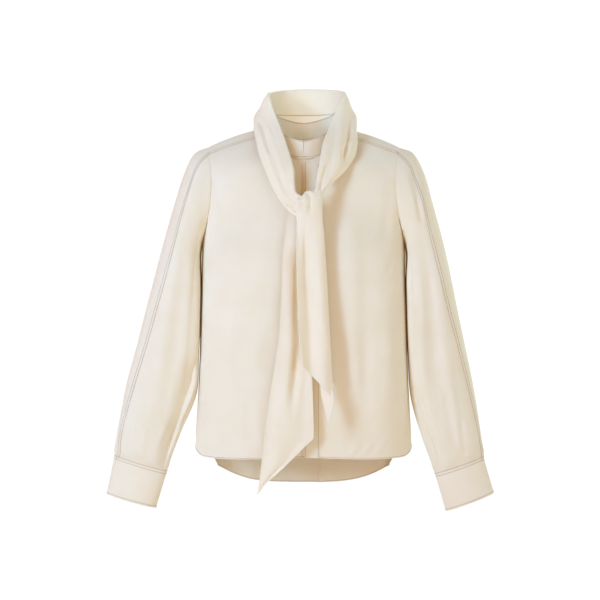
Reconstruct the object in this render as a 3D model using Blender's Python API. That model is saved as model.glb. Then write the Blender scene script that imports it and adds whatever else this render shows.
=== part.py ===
"""A long-sleeved crepe blouse with a stand collar and a scarf tied at the neck, filled out as if worn.

The origin is the middle of the neck seam. +Z is up, the front faces -Y and +X is the wearer's left.
Sizes in the tables are millimetres.
"""

import math

import bpy
import numpy as np

MM = 0.001

# Cloth and sewing
BODY_CLOTH = 1.2
FIRM_CLOTH = 1.6
TAIL_CLOTH = 2.0
SEAM_GAP = 0.3
SHARP_SEAM_EXTRA = 4.0
PLACKET_WIDTH = 27.0
PLACKET_CLOTH = 1.0
PLACKET_GAP = 0.65
PLACKET_TOP_CLEARANCE = 1.2
STAND_SLIT_HALF = 0.7

# Colours, linear
CREPE_COLOUR = (0.84, 0.79, 0.70, 1.0)
BUTTON_COLOUR = (0.80, 0.74, 0.64, 1.0)

# Grid counts
BODY_COLUMNS = 10
LEVEL_STEPS = 2
TAIL_STEPS = 3
FRONT_ARM_STEPS = 11
FRONT_NECK_STEP = 7
BACK_ARM_STEPS = 17
BACK_NECK_STEP = 10
SLEEVE_STEPS = 2
TIE_STEPS = 2
TAIL_ROW_STEPS = 2

# Neck seam ring, seen from above
NECK_HALF_WIDTH = 68.0
NECK_HALF_DEPTH = 66.0
NECK_MIDDLE_Y = 5.0
STAND_TOP_WIDTH = 62.0
STAND_TOP_DEPTH = 59.0
SHOULDER_SEAM_AT = 72.0

# Armhole ring
ARMHOLE_SEAM_ANGLE = 147.8


def table(columns, *rows):
    """Rows of numbers, read by the names of their columns."""
    names = columns.split()
    return {name: np.array([row[i] for row in rows], float) for i, name in enumerate(names)}


# Heights of the neck seam and of the stand's top edge, by the angle from the centre front
NECK = table(
    "angle seam_z top_z",
    (-30, -43, -11),
    (0, -50, -18),
    (30, -43, -11),
    (50, -27, 8),
    (72, -2, 31),
    (90, 11, 42),
    (135, 5, 37),
    (180, -4, 29),
    (225, 5, 37),
)

# Body sections from the vent tops to the underarm
BODY = table(
    "z half_width front_y back_y",
    (-540, 195.5, -99.5, 96),
    (-478, 191.5, -101.5, 95),
    (-400, 188.5, -104, 93),
    (-316, 186.5, -106, 91.5),
    (-243, 184.6, -105.5, 92.5),
    (-205, 184, -102, 94),
)

# Centre front and centre back above the underarm
FRONT_CENTRE = table("z y", (-205, -102), (-165, -94.5), (-127, -84.5), (-80, -70), (-50, -61))
BACK_CENTRE = table("z y", (-205, 94), (-130, 91), (-80, 86), (-40, 79), (-4, 71))

# Panels below the vent tops, from the hem up
FRONT_TAIL = table(
    "inner_y inner_z outer_x outer_y outer_z",
    (-98, -577.5, 197.5, -11, -577),
    (-99, -560, 196.5, -4, -560),
    (-99.5, -540, 195.5, 0, -540),
)
BACK_TAIL = table(
    "inner_y inner_z outer_x outer_y outer_z",
    (95, -645.5, 158, 42, -609),
    (96, -612, 168, 32, -588),
    (96, -575, 183, 15, -564),
    (96, -540, 195.5, 0, -540),
)
FRONT_HEM_DIP = 6.0
FRONT_HEM_CORNER = 5.0
BACK_HEM_POWER = 3.4

# Shape of the rows above the underarm: how round they are and how far they swell
FRONT_CHEST = table(
    "at round swell lift power",
    (0, 1, 0, 0, 1),
    (0.34, 0.8, 3, 0, 1.2),
    (0.64, 0.45, 8, 0, 2.2),
    (0.8, 0.3, 5, 1, 1.4),
    (1, 0.1, 1, 2, 1),
)
BACK_CHEST = table(
    "at round swell lift power",
    (0, 1, 0, 0, 1),
    (0.3, 0.85, 4, 0, 1.1),
    (0.6, 0.6, 7, 1, 1.5),
    (0.86, 0.2, 1, 4, 1.1),
    (1, 0.1, 0, 2, 1),
)

# Soft folds of the fronts and back: place and width across, lowest and highest z, depth out of the cloth
FRONT_RIGHT_FOLDS = table(
    "across width low high depth",
    (0.30, 0.10, -640, -330, 3.0),
    (0.52, 0.12, -640, -250, -3.0),
    (0.74, 0.10, -600, -120, 3.0),
)
FRONT_LEFT_FOLDS = table(
    "across width low high depth",
    (0.34, 0.12, -620, -300, -3.0),
    (0.54, 0.10, -640, -380, 3.0),
    (0.76, 0.10, -600, -130, 2.5),
)
BACK_FOLDS = table(
    "across width low high depth",
    (-0.74, 0.10, -600, -140, 3.0),
    (-0.46, 0.13, -720, -260, -4.0),
    (-0.24, 0.10, -760, -420, 5.0),
    (0.10, 0.10, -760, -400, 5.0),
    (0.36, 0.13, -720, -240, -4.0),
    (0.74, 0.10, -600, -150, 3.0),
)

# Sleeve rings from the armhole to the cuff seam: inner and outer edge, half depth, middle y,
# angle of the overarm seam forward of the outer edge, of the underarm seam forward of the inner edge,
# and the armhole's scoop
SLEEVE_COLUMNS = "inner_x inner_z outer_x outer_z depth y over under scoop"
ARMHOLE_ROW = (184, -205, 173, -24, 60, 2, 180 - ARMHOLE_SEAM_ANGLE, 0, 13)
SLEEVE_RIGHT = table(
    SLEEVE_COLUMNS,
    ARMHOLE_ROW,
    (186.4, -213, 200, -38, 61.5, 1, 48, 0, 9),
    (187, -223, 219.5, -80, 62.5, -1, 60, 1, 4),
    (186.6, -237, 235, -129, 62.5, -4, 64, 3, 1),
    (186, -258, 249, -181, 61.5, -8, 64, 5, 0),
    (185.8, -287, 263, -234, 59.5, -12, 61, 8, 0),
    (186.8, -336, 281, -306, 54, -17, 55, 12, 0),
    (189, -402, 299, -379, 45, -21, 47, 17, 0),
    (193, -472, 317, -446, 35, -25, 40, 22, 0),
    (221, -541, 331, -516, 34, -28, 34, 26, 0),
    (239, -588, 338, -560, 29, -30, 33, 27, 0),
    (246, -611.5, 340, -583, 19, -31, 33, 28, 0),
)
SLEEVE_LEFT = table(
    SLEEVE_COLUMNS,
    ARMHOLE_ROW,
    (186.4, -213, 200, -38, 61.5, 1, 48, 0, 9),
    (187, -223, 221, -78, 62.5, -1, 60, 1, 4),
    (186.6, -237, 235, -129, 62.5, -4, 64, 3, 1),
    (186, -258, 248.5, -181, 61.5, -8, 64, 5, 0),
    (185.8, -287, 261, -234, 59.5, -12, 61, 8, 0),
    (186.8, -336, 276, -306, 54, -17, 55, 12, 0),
    (189, -402, 291, -379, 46, -21, 45, 17, 0),
    (193.5, -477, 304, -446, 38, -25, 36, 22, 0),
    (212, -545, 315.5, -516, 36, -28, 28, 26, 0),
    (229, -593, 321.5, -561, 29, -30, 22, 27, 0),
    (237, -616, 324, -585, 19, -31, 20, 28, 0),
)
CUFF_SEAM_ROW = 11

# Long soft folds of the sleeves: angle round the ring, width, first and last ring, depth
SLEEVE_FOLDS = table(
    "angle width first last depth",
    (75, 26, 3, 10.6, -3.5),
    (205, 24, 4, 10.6, 3.0),
    (250, 24, 5, 10.8, -4.0),
    (310, 24, 3, 9, -3.0),
)
GATHER_WAVES = 7
GATHER_DEPTH = 2.0
GATHER_FROM = 9.4

# Lower edge of the cuffs, and the lap at the back
CUFF_BOTTOM = {
    "right": (265, -675, 354, -650, 21, -33),
    "left": (255.5, -681, 342, -648, 21, -33),
}
CUFF_ROWS = 3
CUFF_SLIT_STEP = 6
CUFF_LAP_STEPS = 2
CUFF_RAMP_STEPS = 2
CUFF_LAP_RISE = 2.1
SLIT_RINGS = 1.5

# Buttons on the cuff laps
BUTTON_RADIUS = 5.5
BUTTON_THICKNESS = 2.0
BUTTON_SEAT = 0.35
BUTTON_SIDES = 20
BUTTON_RIM = 0.6

# The tie round the neck: lower edge, top fold, how far and how deep the inner layer is tucked, and the bulge
TIE_NECK = table(
    "low_x low_y low_z top_x top_y top_z tuck depth bulge",
    (-13.3, -111, -156, -13.1, -113, -116, 0.50, 4, 2),
    (-36, -98, -136, -17, -104, -95, 0.50, 4, 4),
    (-57, -87, -100, -19, -98, -72, 0.52, 6, 7),
    (-77, -67, -50, -29.5, -77, -34, 0.55, 7, 8),
    (-86, -38, -14, -41, -57, 1, 0.60, 7, 8),
    (-90, -14, 5, -55, -27, 38, 0.64, 7, 7),
    (-91, 10, 11, -64, 12, 71, 0.70, 13, 6),
    (-83.5, 43, 8, -58, 38, 80, 0.74, 16, 6),
    (-53, 75, 4, -37, 63, 87, 0.77, 17, 5),
    (0, 88, 2, 0, 74, 90.5, 0.78, 17.9, 5),
    (54, 75, 4, 43.5, 63, 88, 0.77, 18, 5),
    (86, 43, 8, 69, 38, 82, 0.74, 20, 6),
    (95, 10, 10, 75, 12, 72, 0.70, 18, 6),
    (97, -14, 1, 65, -18, 50, 0.64, 11, 8),
    (97, -39, -21, 51, -50, 14, 0.60, 9, 9),
    (91, -62, -48, 37, -77, -22, 0.55, 8, 9),
    (73, -79, -75, 29.5, -97, -62, 0.52, 7, 8),
    (53, -94, -95, 25, -105, -86, 0.50, 5, 5),
    (31, -112, -114, 22, -114, -109, 0.45, 3, 1),
)
TIE_FOLD_RADIUS = 3.4
TIE_VALLEY = 3.0

# The knot: section sizes from its underside to its top lip
KNOT_X = 8.6
KNOT = table(
    "z half_x y half_y shift",
    (-158, 21, -112, 9.5, 0),
    (-150, 22.3, -114.5, 10, 0),
    (-136, 23, -116.5, 9.5, 0),
    (-123, 21, -117, 8.5, 1.5),
    (-112, 13, -116.5, 5.5, 7),
)
KNOT_SIDES = 24
KNOT_FOLDS = 5
KNOT_FOLD_DEPTH = 0.9
KNOT_SQUARENESS = 0.72

# The hanging tails: left and right edge points, middle y and how far the tail waves in depth
TAIL_COLUMNS = "left_x left_z right_x right_z y wave"
TAIL_FRONT = table(
    TAIL_COLUMNS,
    (-12.5, -158.6, 29.5, -158.6, -114.5, 2),
    (-12.5, -200, 35, -200, -123, 4),
    (-11.6, -254, 39.5, -254, -129, 6),
    (-9.5, -310, 42.5, -310, -131, 6),
    (-7.2, -363, 45, -363, -132, 6),
    (-3, -411, 49.5, -405, -132, 6),
    (13, -428, 51.5, -430, -132, 4),
    (27, -441, 53, -452, -131, 3),
    (33, -462, 53.5, -474, -130, 2),
    (38, -492, 50.5, -496, -130, 1),
    (42.5, -517, 45, -518, -130, 0),
)
TAIL_BACK = table(
    TAIL_COLUMNS,
    (-25, -158.6, 8, -158.6, -104.3, 1),
    (-36, -217, 8, -217, -113, 2.5),
    (-39, -288, 9, -288, -117.5, 4),
    (-43, -363, 11.5, -363, -119, 4.5),
    (-55, -444, 15, -440, -119, 5),
    (-65, -514, 17, -505, -118, 5),
    (-69.5, -550, 16, -543, -118, 5),
    (-72.5, -580, -11.6, -571, -118, 4),
    (-75.5, -606, -35, -594, -117.5, 3),
    (-78.5, -627, -64, -620, -117, 1),
    (-81, -640, -78.5, -638.5, -117, 0),
)
TAIL_ACROSS = 8
TAIL_WAVES = 1.25


def spline(stations, values, at):
    """A smooth curve through the values at their stations."""
    stations = np.asarray(stations, float)
    values = np.asarray(values, float)
    step = np.diff(stations)
    slope = np.diff(values) / step
    tangent = np.empty_like(values)
    tangent[0] = slope[0]
    tangent[-1] = slope[-1]
    tangent[1:-1] = (slope[:-1] * step[1:] + slope[1:] * step[:-1]) / (step[:-1] + step[1:])
    i = int(np.clip(np.searchsorted(stations, at, side="right") - 1, 0, len(step) - 1))
    t = (at - stations[i]) / step[i]
    start = (1 + 2 * t) * (1 - t) ** 2 * values[i] + t * (1 - t) ** 2 * step[i] * tangent[i]
    end = t * t * (3 - 2 * t) * values[i + 1] + t * t * (t - 1) * step[i] * tangent[i + 1]
    return start + end


def read(rows, column, at, by=None):
    """The value of a column at a place between rows, by row number or by another column."""
    stations = np.arange(len(rows[column])) if by is None else rows[by]
    return float(spline(stations, rows[column], at))


def ease(x):
    """A smooth step from 0 to 1."""
    x = min(max(x, 0.0), 1.0)
    return x * x * (3 - 2 * x)


def bump(x):
    """A smooth hill, 1 at 0 and nothing from 1 outwards."""
    return (1 + math.cos(math.pi * x)) / 2 if abs(x) < 1 else 0.0


def neck_point(angle):
    """A point of the neck seam on the +X side."""
    a = math.radians(angle)
    return np.array(
        [
            NECK_HALF_WIDTH * math.sin(a),
            NECK_MIDDLE_Y - NECK_HALF_DEPTH * math.cos(a),
            read(NECK, "seam_z", angle, by="angle"),
        ]
    )


def stand_top_point(angle):
    """A point of the stand's top edge on the +X side."""
    a = math.radians(angle)
    return np.array(
        [
            STAND_TOP_WIDTH * math.sin(a),
            NECK_MIDDLE_Y - STAND_TOP_DEPTH * math.cos(a),
            read(NECK, "top_z", angle, by="angle"),
        ]
    )


def sleeve_point(sleeve, ring, angle):
    """A point of a sleeve on the +X side. The angle is 0 at the body, 90 in front and 180 outside."""
    value = {name: read(sleeve, name, ring) for name in sleeve}
    a = math.radians(angle)
    inner = np.array([value["inner_x"], value["y"], value["inner_z"]])
    outer = np.array([value["outer_x"], value["y"], value["outer_z"]])
    point = (inner + outer) / 2 - (outer - inner) / 2 * math.cos(a)
    point[1] -= value["depth"] * math.sin(a)
    point[0] -= value["scoop"] * math.sin(a) ** 2
    return point


def armhole_point(angle):
    """A point of the armhole on the +X side."""
    return sleeve_point(SLEEVE_LEFT, 0, angle)


def row_curve(inner, outer, across, roundness, swell, lift, side, z_power=1.0):
    """One row of a panel, from its inner edge to its outer edge. side is -1 in front and 1 behind."""
    reach = outer - inner
    flat = 1 / 3
    along = flat + (0.6 - flat) * roundness
    turn = flat * (1 - roundness)
    first = inner + np.array([along * reach[0], turn * reach[1], 0])
    second = outer - np.array([turn * reach[0], along * reach[1], 0])
    points = []
    for u in across:
        b = ((1 - u) ** 3, 3 * u * (1 - u) ** 2, 3 * u * u * (1 - u), u**3)
        point = b[0] * inner + b[1] * first + b[2] * second + b[3] * outer
        share = (point[0] - inner[0]) / reach[0]
        point[2] = inner[2] + reach[2] * share**z_power
        point[1] += side * swell * 4 * u * (1 - u)
        point[2] += lift * 4 * u * (1 - u)
        points.append(point)
    return points


def columns_across(inner, outer, shape, side, edge_strip):
    """Where the columns cross a row. The first two end at the half and the full width of the placket."""
    fine = np.linspace(0, 1, 200)
    x = [p[0] for p in row_curve(inner, outer, fine, *shape, side)]
    if edge_strip:
        start = [0.0] + [float(np.interp(w, x, fine)) for w in (PLACKET_WIDTH / 2, PLACKET_WIDTH)]
    else:
        start = [0.0]
    rest = np.linspace(start[-1], 1, BODY_COLUMNS + 2 - len(start))[1:]
    return start + list(rest)


def level_heights():
    """Heights of the rows from the vent tops to the underarm."""
    heights = []
    for low, high in zip(BODY["z"][:-1], BODY["z"][1:]):
        heights += [low + (high - low) * k / LEVEL_STEPS for k in range(LEVEL_STEPS)]
    return heights


def body_rows(front):
    """The rows of half a front or half a back on the +X side, from the hem to the shoulder seam."""
    side = -1 if front else 1
    tail = FRONT_TAIL if front else BACK_TAIL
    centre = FRONT_CENTRE if front else BACK_CENTRE
    depth = "front_y" if front else "back_y"
    chest = FRONT_CHEST if front else BACK_CHEST
    steps = FRONT_ARM_STEPS if front else BACK_ARM_STEPS
    corner = FRONT_NECK_STEP if front else BACK_NECK_STEP
    rows = []
    count = (len(tail["inner_y"]) - 1) * TAIL_STEPS
    for k in range(count):
        at = k / TAIL_STEPS
        inner = np.array([0, read(tail, "inner_y", at), read(tail, "inner_z", at)])
        outer = np.array([read(tail, "outer_" + axis, at) for axis in "xyz"])
        low = 1 - k / count
        power = 1 if front else 1 + (BACK_HEM_POWER - 1) * low
        rows.append((inner, outer, (1, 0, -FRONT_HEM_DIP * low if front else 0), power))
    for z in level_heights():
        inner = np.array([0, read(BODY, depth, z, by="z"), z])
        outer = np.array([read(BODY, "half_width", z, by="z"), 0, z])
        rows.append((inner, outer, (1, 0, 0), 1))
    side_bottom = BODY["z"][-1]
    neck_z = centre["z"][-1]
    for k in range(steps + 1):
        t = k / steps
        if front:
            outer = armhole_point(ARMHOLE_SEAM_ANGLE * t)
        else:
            outer = armhole_point(360 - (360 - ARMHOLE_SEAM_ANGLE) * t)
        if k <= corner:
            z = side_bottom + (neck_z - side_bottom) * k / corner
            inner = np.array([0, read(centre, "y", z, by="z"), z])
        else:
            turn = (k - corner) / (steps - corner)
            inner = neck_point(SHOULDER_SEAM_AT * turn if front else 180 - (180 - SHOULDER_SEAM_AT) * turn)
        if k == corner:
            inner = neck_point(0 if front else 180)
        shape = tuple(read(chest, name, t, by="at") for name in ("round", "swell", "lift"))
        rows.append((inner, outer, shape, read(chest, "power", t, by="at")))
    return rows


def body_grid(front):
    """Points of half a front or half a back on the +X side, row by row."""
    side = -1 if front else 1
    grid = []
    rows = body_rows(front)
    corner_row = len(rows) - 1 - (FRONT_ARM_STEPS - FRONT_NECK_STEP)
    for number, (inner, outer, shape, power) in enumerate(rows):
        if not front or number <= corner_row:
            across = columns_across(inner, outer, shape, side, front)
        grid.append(row_curve(inner, outer, across, *shape, side, power))
    grid = np.array(grid)
    if front:
        grid[0, -1, 2] += FRONT_HEM_CORNER
    return grid


def grid_normals(grid):
    """Unit vectors square to a grid, on the side of its rows crossed with its columns."""
    along = np.gradient(grid, axis=0)
    over = np.gradient(grid, axis=1)
    normals = np.cross(over, along)
    return normals / np.linalg.norm(normals, axis=2, keepdims=True)


def add_folds(grid, folds, outward, sign=1):
    """Moves a body grid in or out along its soft folds, leaving its seams where they are."""
    normals = grid_normals(grid) * outward
    moved = grid.copy()
    columns = grid.shape[1]
    for i in range(grid.shape[0]):
        for j in range(1, columns - 1):
            u = sign * j / (columns - 1)
            z = grid[i, j, 2]
            height = 0.0
            for k in range(len(folds["across"])):
                middle = (folds["low"][k] + folds["high"][k]) / 2
                half = (folds["high"][k] - folds["low"][k]) / 2
                window = bump((z - middle) / half)
                across = (u - folds["across"][k]) / (2 * folds["width"][k])
                height += folds["depth"][k] * window * bump(across)
            moved[i, j] += normals[i, j] * height
    return moved


def mirrored(grid):
    """The same points on the -X side."""
    return grid * np.array([-1, 1, 1])


def surface(grid, flip=False):
    """A grid as points and four-sided faces. flip turns the faces round."""
    rows, columns = grid.shape[:2]
    faces = []
    for i in range(rows - 1):
        for j in range(columns - 1):
            a = i * columns + j
            face = (a, a + 1, a + columns + 1, a + columns)
            faces.append(face[::-1] if flip else face)
    return {"points": [np.array(p) for p in grid.reshape(-1, 3)], "faces": faces}


def joined(*parts):
    """Surfaces put together, sharing the points that coincide."""
    points, faces, known = [], [], {}
    for part in parts:
        place = []
        for point in part["points"]:
            key = spot(point)
            if key not in known:
                known[key] = len(points)
                points.append(point)
            place.append(known[key])
        faces += [tuple(place[i] for i in face) for face in part["faces"]]
    return {"points": points, "faces": faces}


def spot(point):
    """A key that is the same for points that coincide."""
    return tuple(int(round(float(c) * 50)) for c in point)


def face_normals(part):
    """The area vector of each face."""
    p = part["points"]
    return [np.cross(p[f[2]] - p[f[0]], p[f[3]] - p[f[1]]) / 2 for f in part["faces"]]


def shared_normals(parts):
    """Unit normals at the points of several surfaces, the same for all that meet in a point.

    The fourth number is how sharply the cloth turns there, from 0 to 1.
    """
    total, count = {}, {}
    for part in parts:
        for face, normal in zip(part["faces"], face_normals(part)):
            unit = normal / (np.linalg.norm(normal) + 1e-9)
            for i in face:
                key = spot(part["points"][i])
                total[key] = total.get(key, 0) + unit
                count[key] = count.get(key, 0) + 1
    size = {key: np.linalg.norm(value) for key, value in total.items()}
    return {key: np.append(total[key] / size[key], 1 - size[key] / count[key]) for key in total}


def edge_pull(part, normals, turns):
    """How far each point moves in from the free edges, so that seams have a gap. Sharp seams have more."""
    used = {}
    for face in part["faces"]:
        for a, b in zip(face, face[1:] + face[:1]):
            used[(a, b)] = True
    inward = {}
    for a, b in used:
        if (b, a) in used:
            continue
        direction = part["points"][b] - part["points"][a]
        normal = normals[a] + normals[b]
        side = np.cross(normal, direction)
        side /= np.linalg.norm(side)
        inward.setdefault(a, []).append(side)
        inward.setdefault(b, []).append(side)
    pulls = {}
    for i, sides in inward.items():
        first, last = sides[0], sides[-1]
        reach = SEAM_GAP / 2 * (1 + SHARP_SEAM_EXTRA * turns[i])
        pulls[i] = reach * (first + last) / (1 + max(float(first @ last), -0.5))
    return pulls, [edge for edge in used if (edge[1], edge[0]) not in used]


def add_material(name, colour, roughness):
    """A plain surface for one sub-part."""
    material = bpy.data.materials.new(name)
    material.use_nodes = True
    shader = material.node_tree.nodes["Principled BSDF"]
    shader.inputs["Base Color"].default_value = colour
    shader.inputs["Roughness"].default_value = roughness
    shader.inputs["Metallic"].default_value = 0.0
    return material


def add_object(name, points, faces, colour=CREPE_COLOUR, roughness=0.85):
    """A closed solid from points in millimetres."""
    mesh = bpy.data.meshes.new(name)
    mesh.from_pydata([tuple(np.array(p) * MM) for p in points], [], faces)
    mesh.validate()
    mesh.update()
    mesh.shade_smooth()
    mesh.set_sharp_from_angle(angle=math.radians(50))
    item = bpy.data.objects.new(name, mesh)
    bpy.context.scene.collection.objects.link(item)
    mesh.materials.append(add_material(name + "_material", colour, roughness))
    return item


def add_wall(name, part, shared, thickness, raised=0.0):
    """Cloth of one thickness whose outer face is the surface, drawn in a little at its edges."""
    normals = [shared[spot(p)][:3] for p in part["points"]]
    turns = [shared[spot(p)][3] for p in part["points"]]
    pulls, edges = edge_pull(part, normals, turns)
    outside = [p + pulls.get(i, 0) + raised * normals[i] for i, p in enumerate(part["points"])]
    inside = [p - thickness * n for p, n in zip(outside, normals)]
    count = len(outside)
    faces = [tuple(f) for f in part["faces"]]
    faces += [tuple(i + count for i in reversed(f)) for f in part["faces"]]
    faces += [(b, a, a + count, b + count) for a, b in edges]
    return add_object(name, outside + inside, faces)


def build_body():
    """Surfaces of the fronts, the back and the placket."""
    front = body_grid(True)
    back = body_grid(False)
    right = mirrored(add_folds(front, FRONT_RIGHT_FOLDS, 1))
    left = add_folds(front, FRONT_LEFT_FOLDS, 1)
    back_left = add_folds(back, BACK_FOLDS, -1)
    back_right = mirrored(add_folds(back, BACK_FOLDS, -1, sign=-1))
    strip_rows = left.shape[0] - (FRONT_ARM_STEPS - FRONT_NECK_STEP)
    strip = left[:strip_rows, :3].copy()
    last = strip[-1] - strip[-2]
    strip[-1] -= last * PLACKET_TOP_CLEARANCE / np.linalg.norm(last, axis=1, keepdims=True)
    return {
        "front_right": surface(right, flip=True),
        "front_left": surface(left),
        "back": joined(surface(back_left, flip=True), surface(back_right)),
        "placket": surface(strip),
    }


def sleeve_rings():
    """Places of the rows along a sleeve."""
    return [k / SLEEVE_STEPS for k in range(CUFF_SEAM_ROW * SLEEVE_STEPS + 1)]


def sleeve_height(ring, angle):
    """How far a fold or gather stands out of a sleeve."""
    folds = SLEEVE_FOLDS
    height = 0.0
    for k in range(len(folds["angle"])):
        middle = (folds["first"][k] + folds["last"][k]) / 2
        half = (folds["last"][k] - folds["first"][k]) / 2
        window = bump((ring - middle) / half)
        height += folds["depth"][k] * window * bump((angle - folds["angle"][k]) / folds["width"][k])
    rise = ease((ring - GATHER_FROM) / (10.4 - GATHER_FROM)) * (1 - ease((ring - 10.4) / 0.6))
    return height + GATHER_DEPTH * rise * math.sin(math.radians(angle) * GATHER_WAVES)


def sleeve_angles(sleeve, ring, front):
    """Angles of the columns of a sleeve's front or back piece at a ring."""
    over = 180 - read(sleeve, "over", ring)
    under = read(sleeve, "under", ring)
    steps = FRONT_ARM_STEPS if front else BACK_ARM_STEPS
    if front:
        return [under + (over - under) * k / steps for k in range(steps + 1)]
    return [over + (360 + under - over) * k / steps for k in range(steps + 1)]


def sleeve_grid(sleeve, front):
    """Points of a sleeve piece on the +X side. Columns run round the arm and rows down it."""
    grid = []
    for ring in sleeve_rings():
        row = []
        for angle in sleeve_angles(sleeve, ring, front):
            point = sleeve_point(sleeve, ring, angle)
            out = sleeve_point(sleeve, ring, angle) - (
                sleeve_point(sleeve, ring, 0) + sleeve_point(sleeve, ring, 180)
            ) / 2
            out /= np.linalg.norm(out)
            row.append(point + out * sleeve_height(ring, angle % 360))
        grid.append(row)
    return np.array(grid)


def with_slit(grid, column, first_row, flip):
    """A surface whose column is open from a row to the last one."""
    part = surface(grid, flip)
    columns = grid.shape[1]
    twins = {}
    for i in range(first_row, grid.shape[0]):
        twins[i * columns + column] = len(part["points"])
        part["points"].append(part["points"][i * columns + column].copy())
    faces = []
    for number, face in enumerate(part["faces"]):
        if number % (columns - 1) >= column:
            face = tuple(twins.get(i, i) for i in face)
        faces.append(face)
    part["faces"] = faces
    return part


def cuff_grid(sleeve, bottom):
    """Points of a cuff on the +X side: once round from the slit, and on over the start as a lap."""
    around = sleeve_angles(sleeve, CUFF_SEAM_ROW, False)
    around = around[:-1] + [a + 360 for a in sleeve_angles(sleeve, CUFF_SEAM_ROW, True)]
    turn = around[CUFF_SLIT_STEP:] + [a + 360 for a in around[1 : CUFF_SLIT_STEP + CUFF_LAP_STEPS + 1]]
    count = len(around) - 1
    inner = np.array([bottom[0], bottom[5], bottom[1]])
    outer = np.array([bottom[2], bottom[5], bottom[3]])
    grid = []
    for row in range(CUFF_ROWS + 1):
        t = row / CUFF_ROWS
        points = []
        for k, angle in enumerate(turn):
            a = math.radians(angle)
            low = (inner + outer) / 2 - (outer - inner) / 2 * math.cos(a)
            low[1] -= bottom[4] * math.sin(a)
            high = sleeve_point(sleeve, CUFF_SEAM_ROW, angle)
            point = high + (low - high) * t
            rise = CUFF_LAP_RISE * ease((k - count + CUFF_RAMP_STEPS) / CUFF_RAMP_STEPS)
            out = np.array([-math.cos(a) * bottom[4], -math.sin(a) * 49, 0])
            points.append(point + rise * out / np.linalg.norm(out))
        grid.append(points)
    return np.array(grid)


def build_sleeves():
    """Surfaces of the sleeves and cuffs."""
    parts = {}
    slit_row = int((CUFF_SEAM_ROW - SLIT_RINGS) * SLEEVE_STEPS)
    for side, sleeve in (("left", SLEEVE_LEFT), ("right", SLEEVE_RIGHT)):
        front = sleeve_grid(sleeve, True)
        back = sleeve_grid(sleeve, False)
        cuff = cuff_grid(sleeve, CUFF_BOTTOM[side])
        flip = side == "left"
        if side == "right":
            front, back, cuff = mirrored(front), mirrored(back), mirrored(cuff)
        parts[f"sleeve_{side}_front"] = surface(front, flip)
        parts[f"sleeve_{side}_back"] = with_slit(back, CUFF_SLIT_STEP, slit_row, flip)
        parts[f"cuff_{side}"] = surface(cuff, flip)
    return parts


def build_stand():
    """Surface of the stand collar, from the wearer's left front edge round to the right one."""
    steps = FRONT_ARM_STEPS - FRONT_NECK_STEP
    front = [SHOULDER_SEAM_AT * k / steps for k in range(steps)]
    steps = BACK_ARM_STEPS - BACK_NECK_STEP
    back = [SHOULDER_SEAM_AT + (180 - SHOULDER_SEAM_AT) * k / steps for k in range(steps + 1)]
    half = front + back
    grid = []
    for t in (0, 0.5, 1):
        row = [neck_point(a) * (1 - t) + stand_top_point(a) * t for a in half]
        row[0][0] = STAND_SLIT_HALF * t
        row += [p * np.array([-1, 1, 1]) for p in reversed(row[:-1])]
        grid.append(row)
    return surface(np.array(grid))


def tie_section(at, tangent):
    """One section of the neck tie: up the outer layer, over the fold and down the inner layer."""
    value = {name: read(TIE_NECK, name, at) for name in TIE_NECK}
    low = np.array([value["low_x"], value["low_y"], value["low_z"]])
    top = np.array([value["top_x"], value["top_y"], value["top_z"]])
    rise = top - low
    width = np.linalg.norm(rise)
    up = rise / width
    out = np.cross(up, tangent)
    out /= np.linalg.norm(out)
    points = []
    for share in (0, 0.2, 0.4, 0.6, 0.78, 0.92):
        swell = value["bulge"] * math.sin(math.pi * min(share * 1.05, 1))
        swell += TIE_FOLD_RADIUS * ease(share / 0.3)
        valley = TIE_VALLEY * bump((share - 0.6) / 0.3)
        points.append(low + rise * share + out * (swell - valley))
    points.append(top + up * TIE_FOLD_RADIUS * 0.2 + out * TIE_FOLD_RADIUS * 0.75)
    points.append(top + up * TIE_FOLD_RADIUS * 0.6)
    points.append(top + up * TIE_FOLD_RADIUS * 0.1 - out * TIE_FOLD_RADIUS * 0.75)
    end = top - rise * value["tuck"] - out * value["depth"]
    start = top - up * 3 - out * TIE_FOLD_RADIUS
    for share in (0, 0.33, 0.67, 1):
        points.append(start + (end - start) * share)
    return points


def build_tie_neck():
    """Surface of the tie round the neck, from the knot's right side round the back to its left side."""
    count = (len(TIE_NECK["low_x"]) - 1) * TIE_STEPS
    places = [k / TIE_STEPS for k in range(count + 1)]
    middles = []
    for at in places:
        ends = [[read(TIE_NECK, end + axis, at) for end in ("low_", "top_")] for axis in "xyz"]
        middles.append([sum(pair) / 2 for pair in ends])
    tangents = np.gradient(np.array(middles), axis=0)
    grid = [tie_section(at, tangent) for at, tangent in zip(places, tangents)]
    return surface(np.array(grid))


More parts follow.
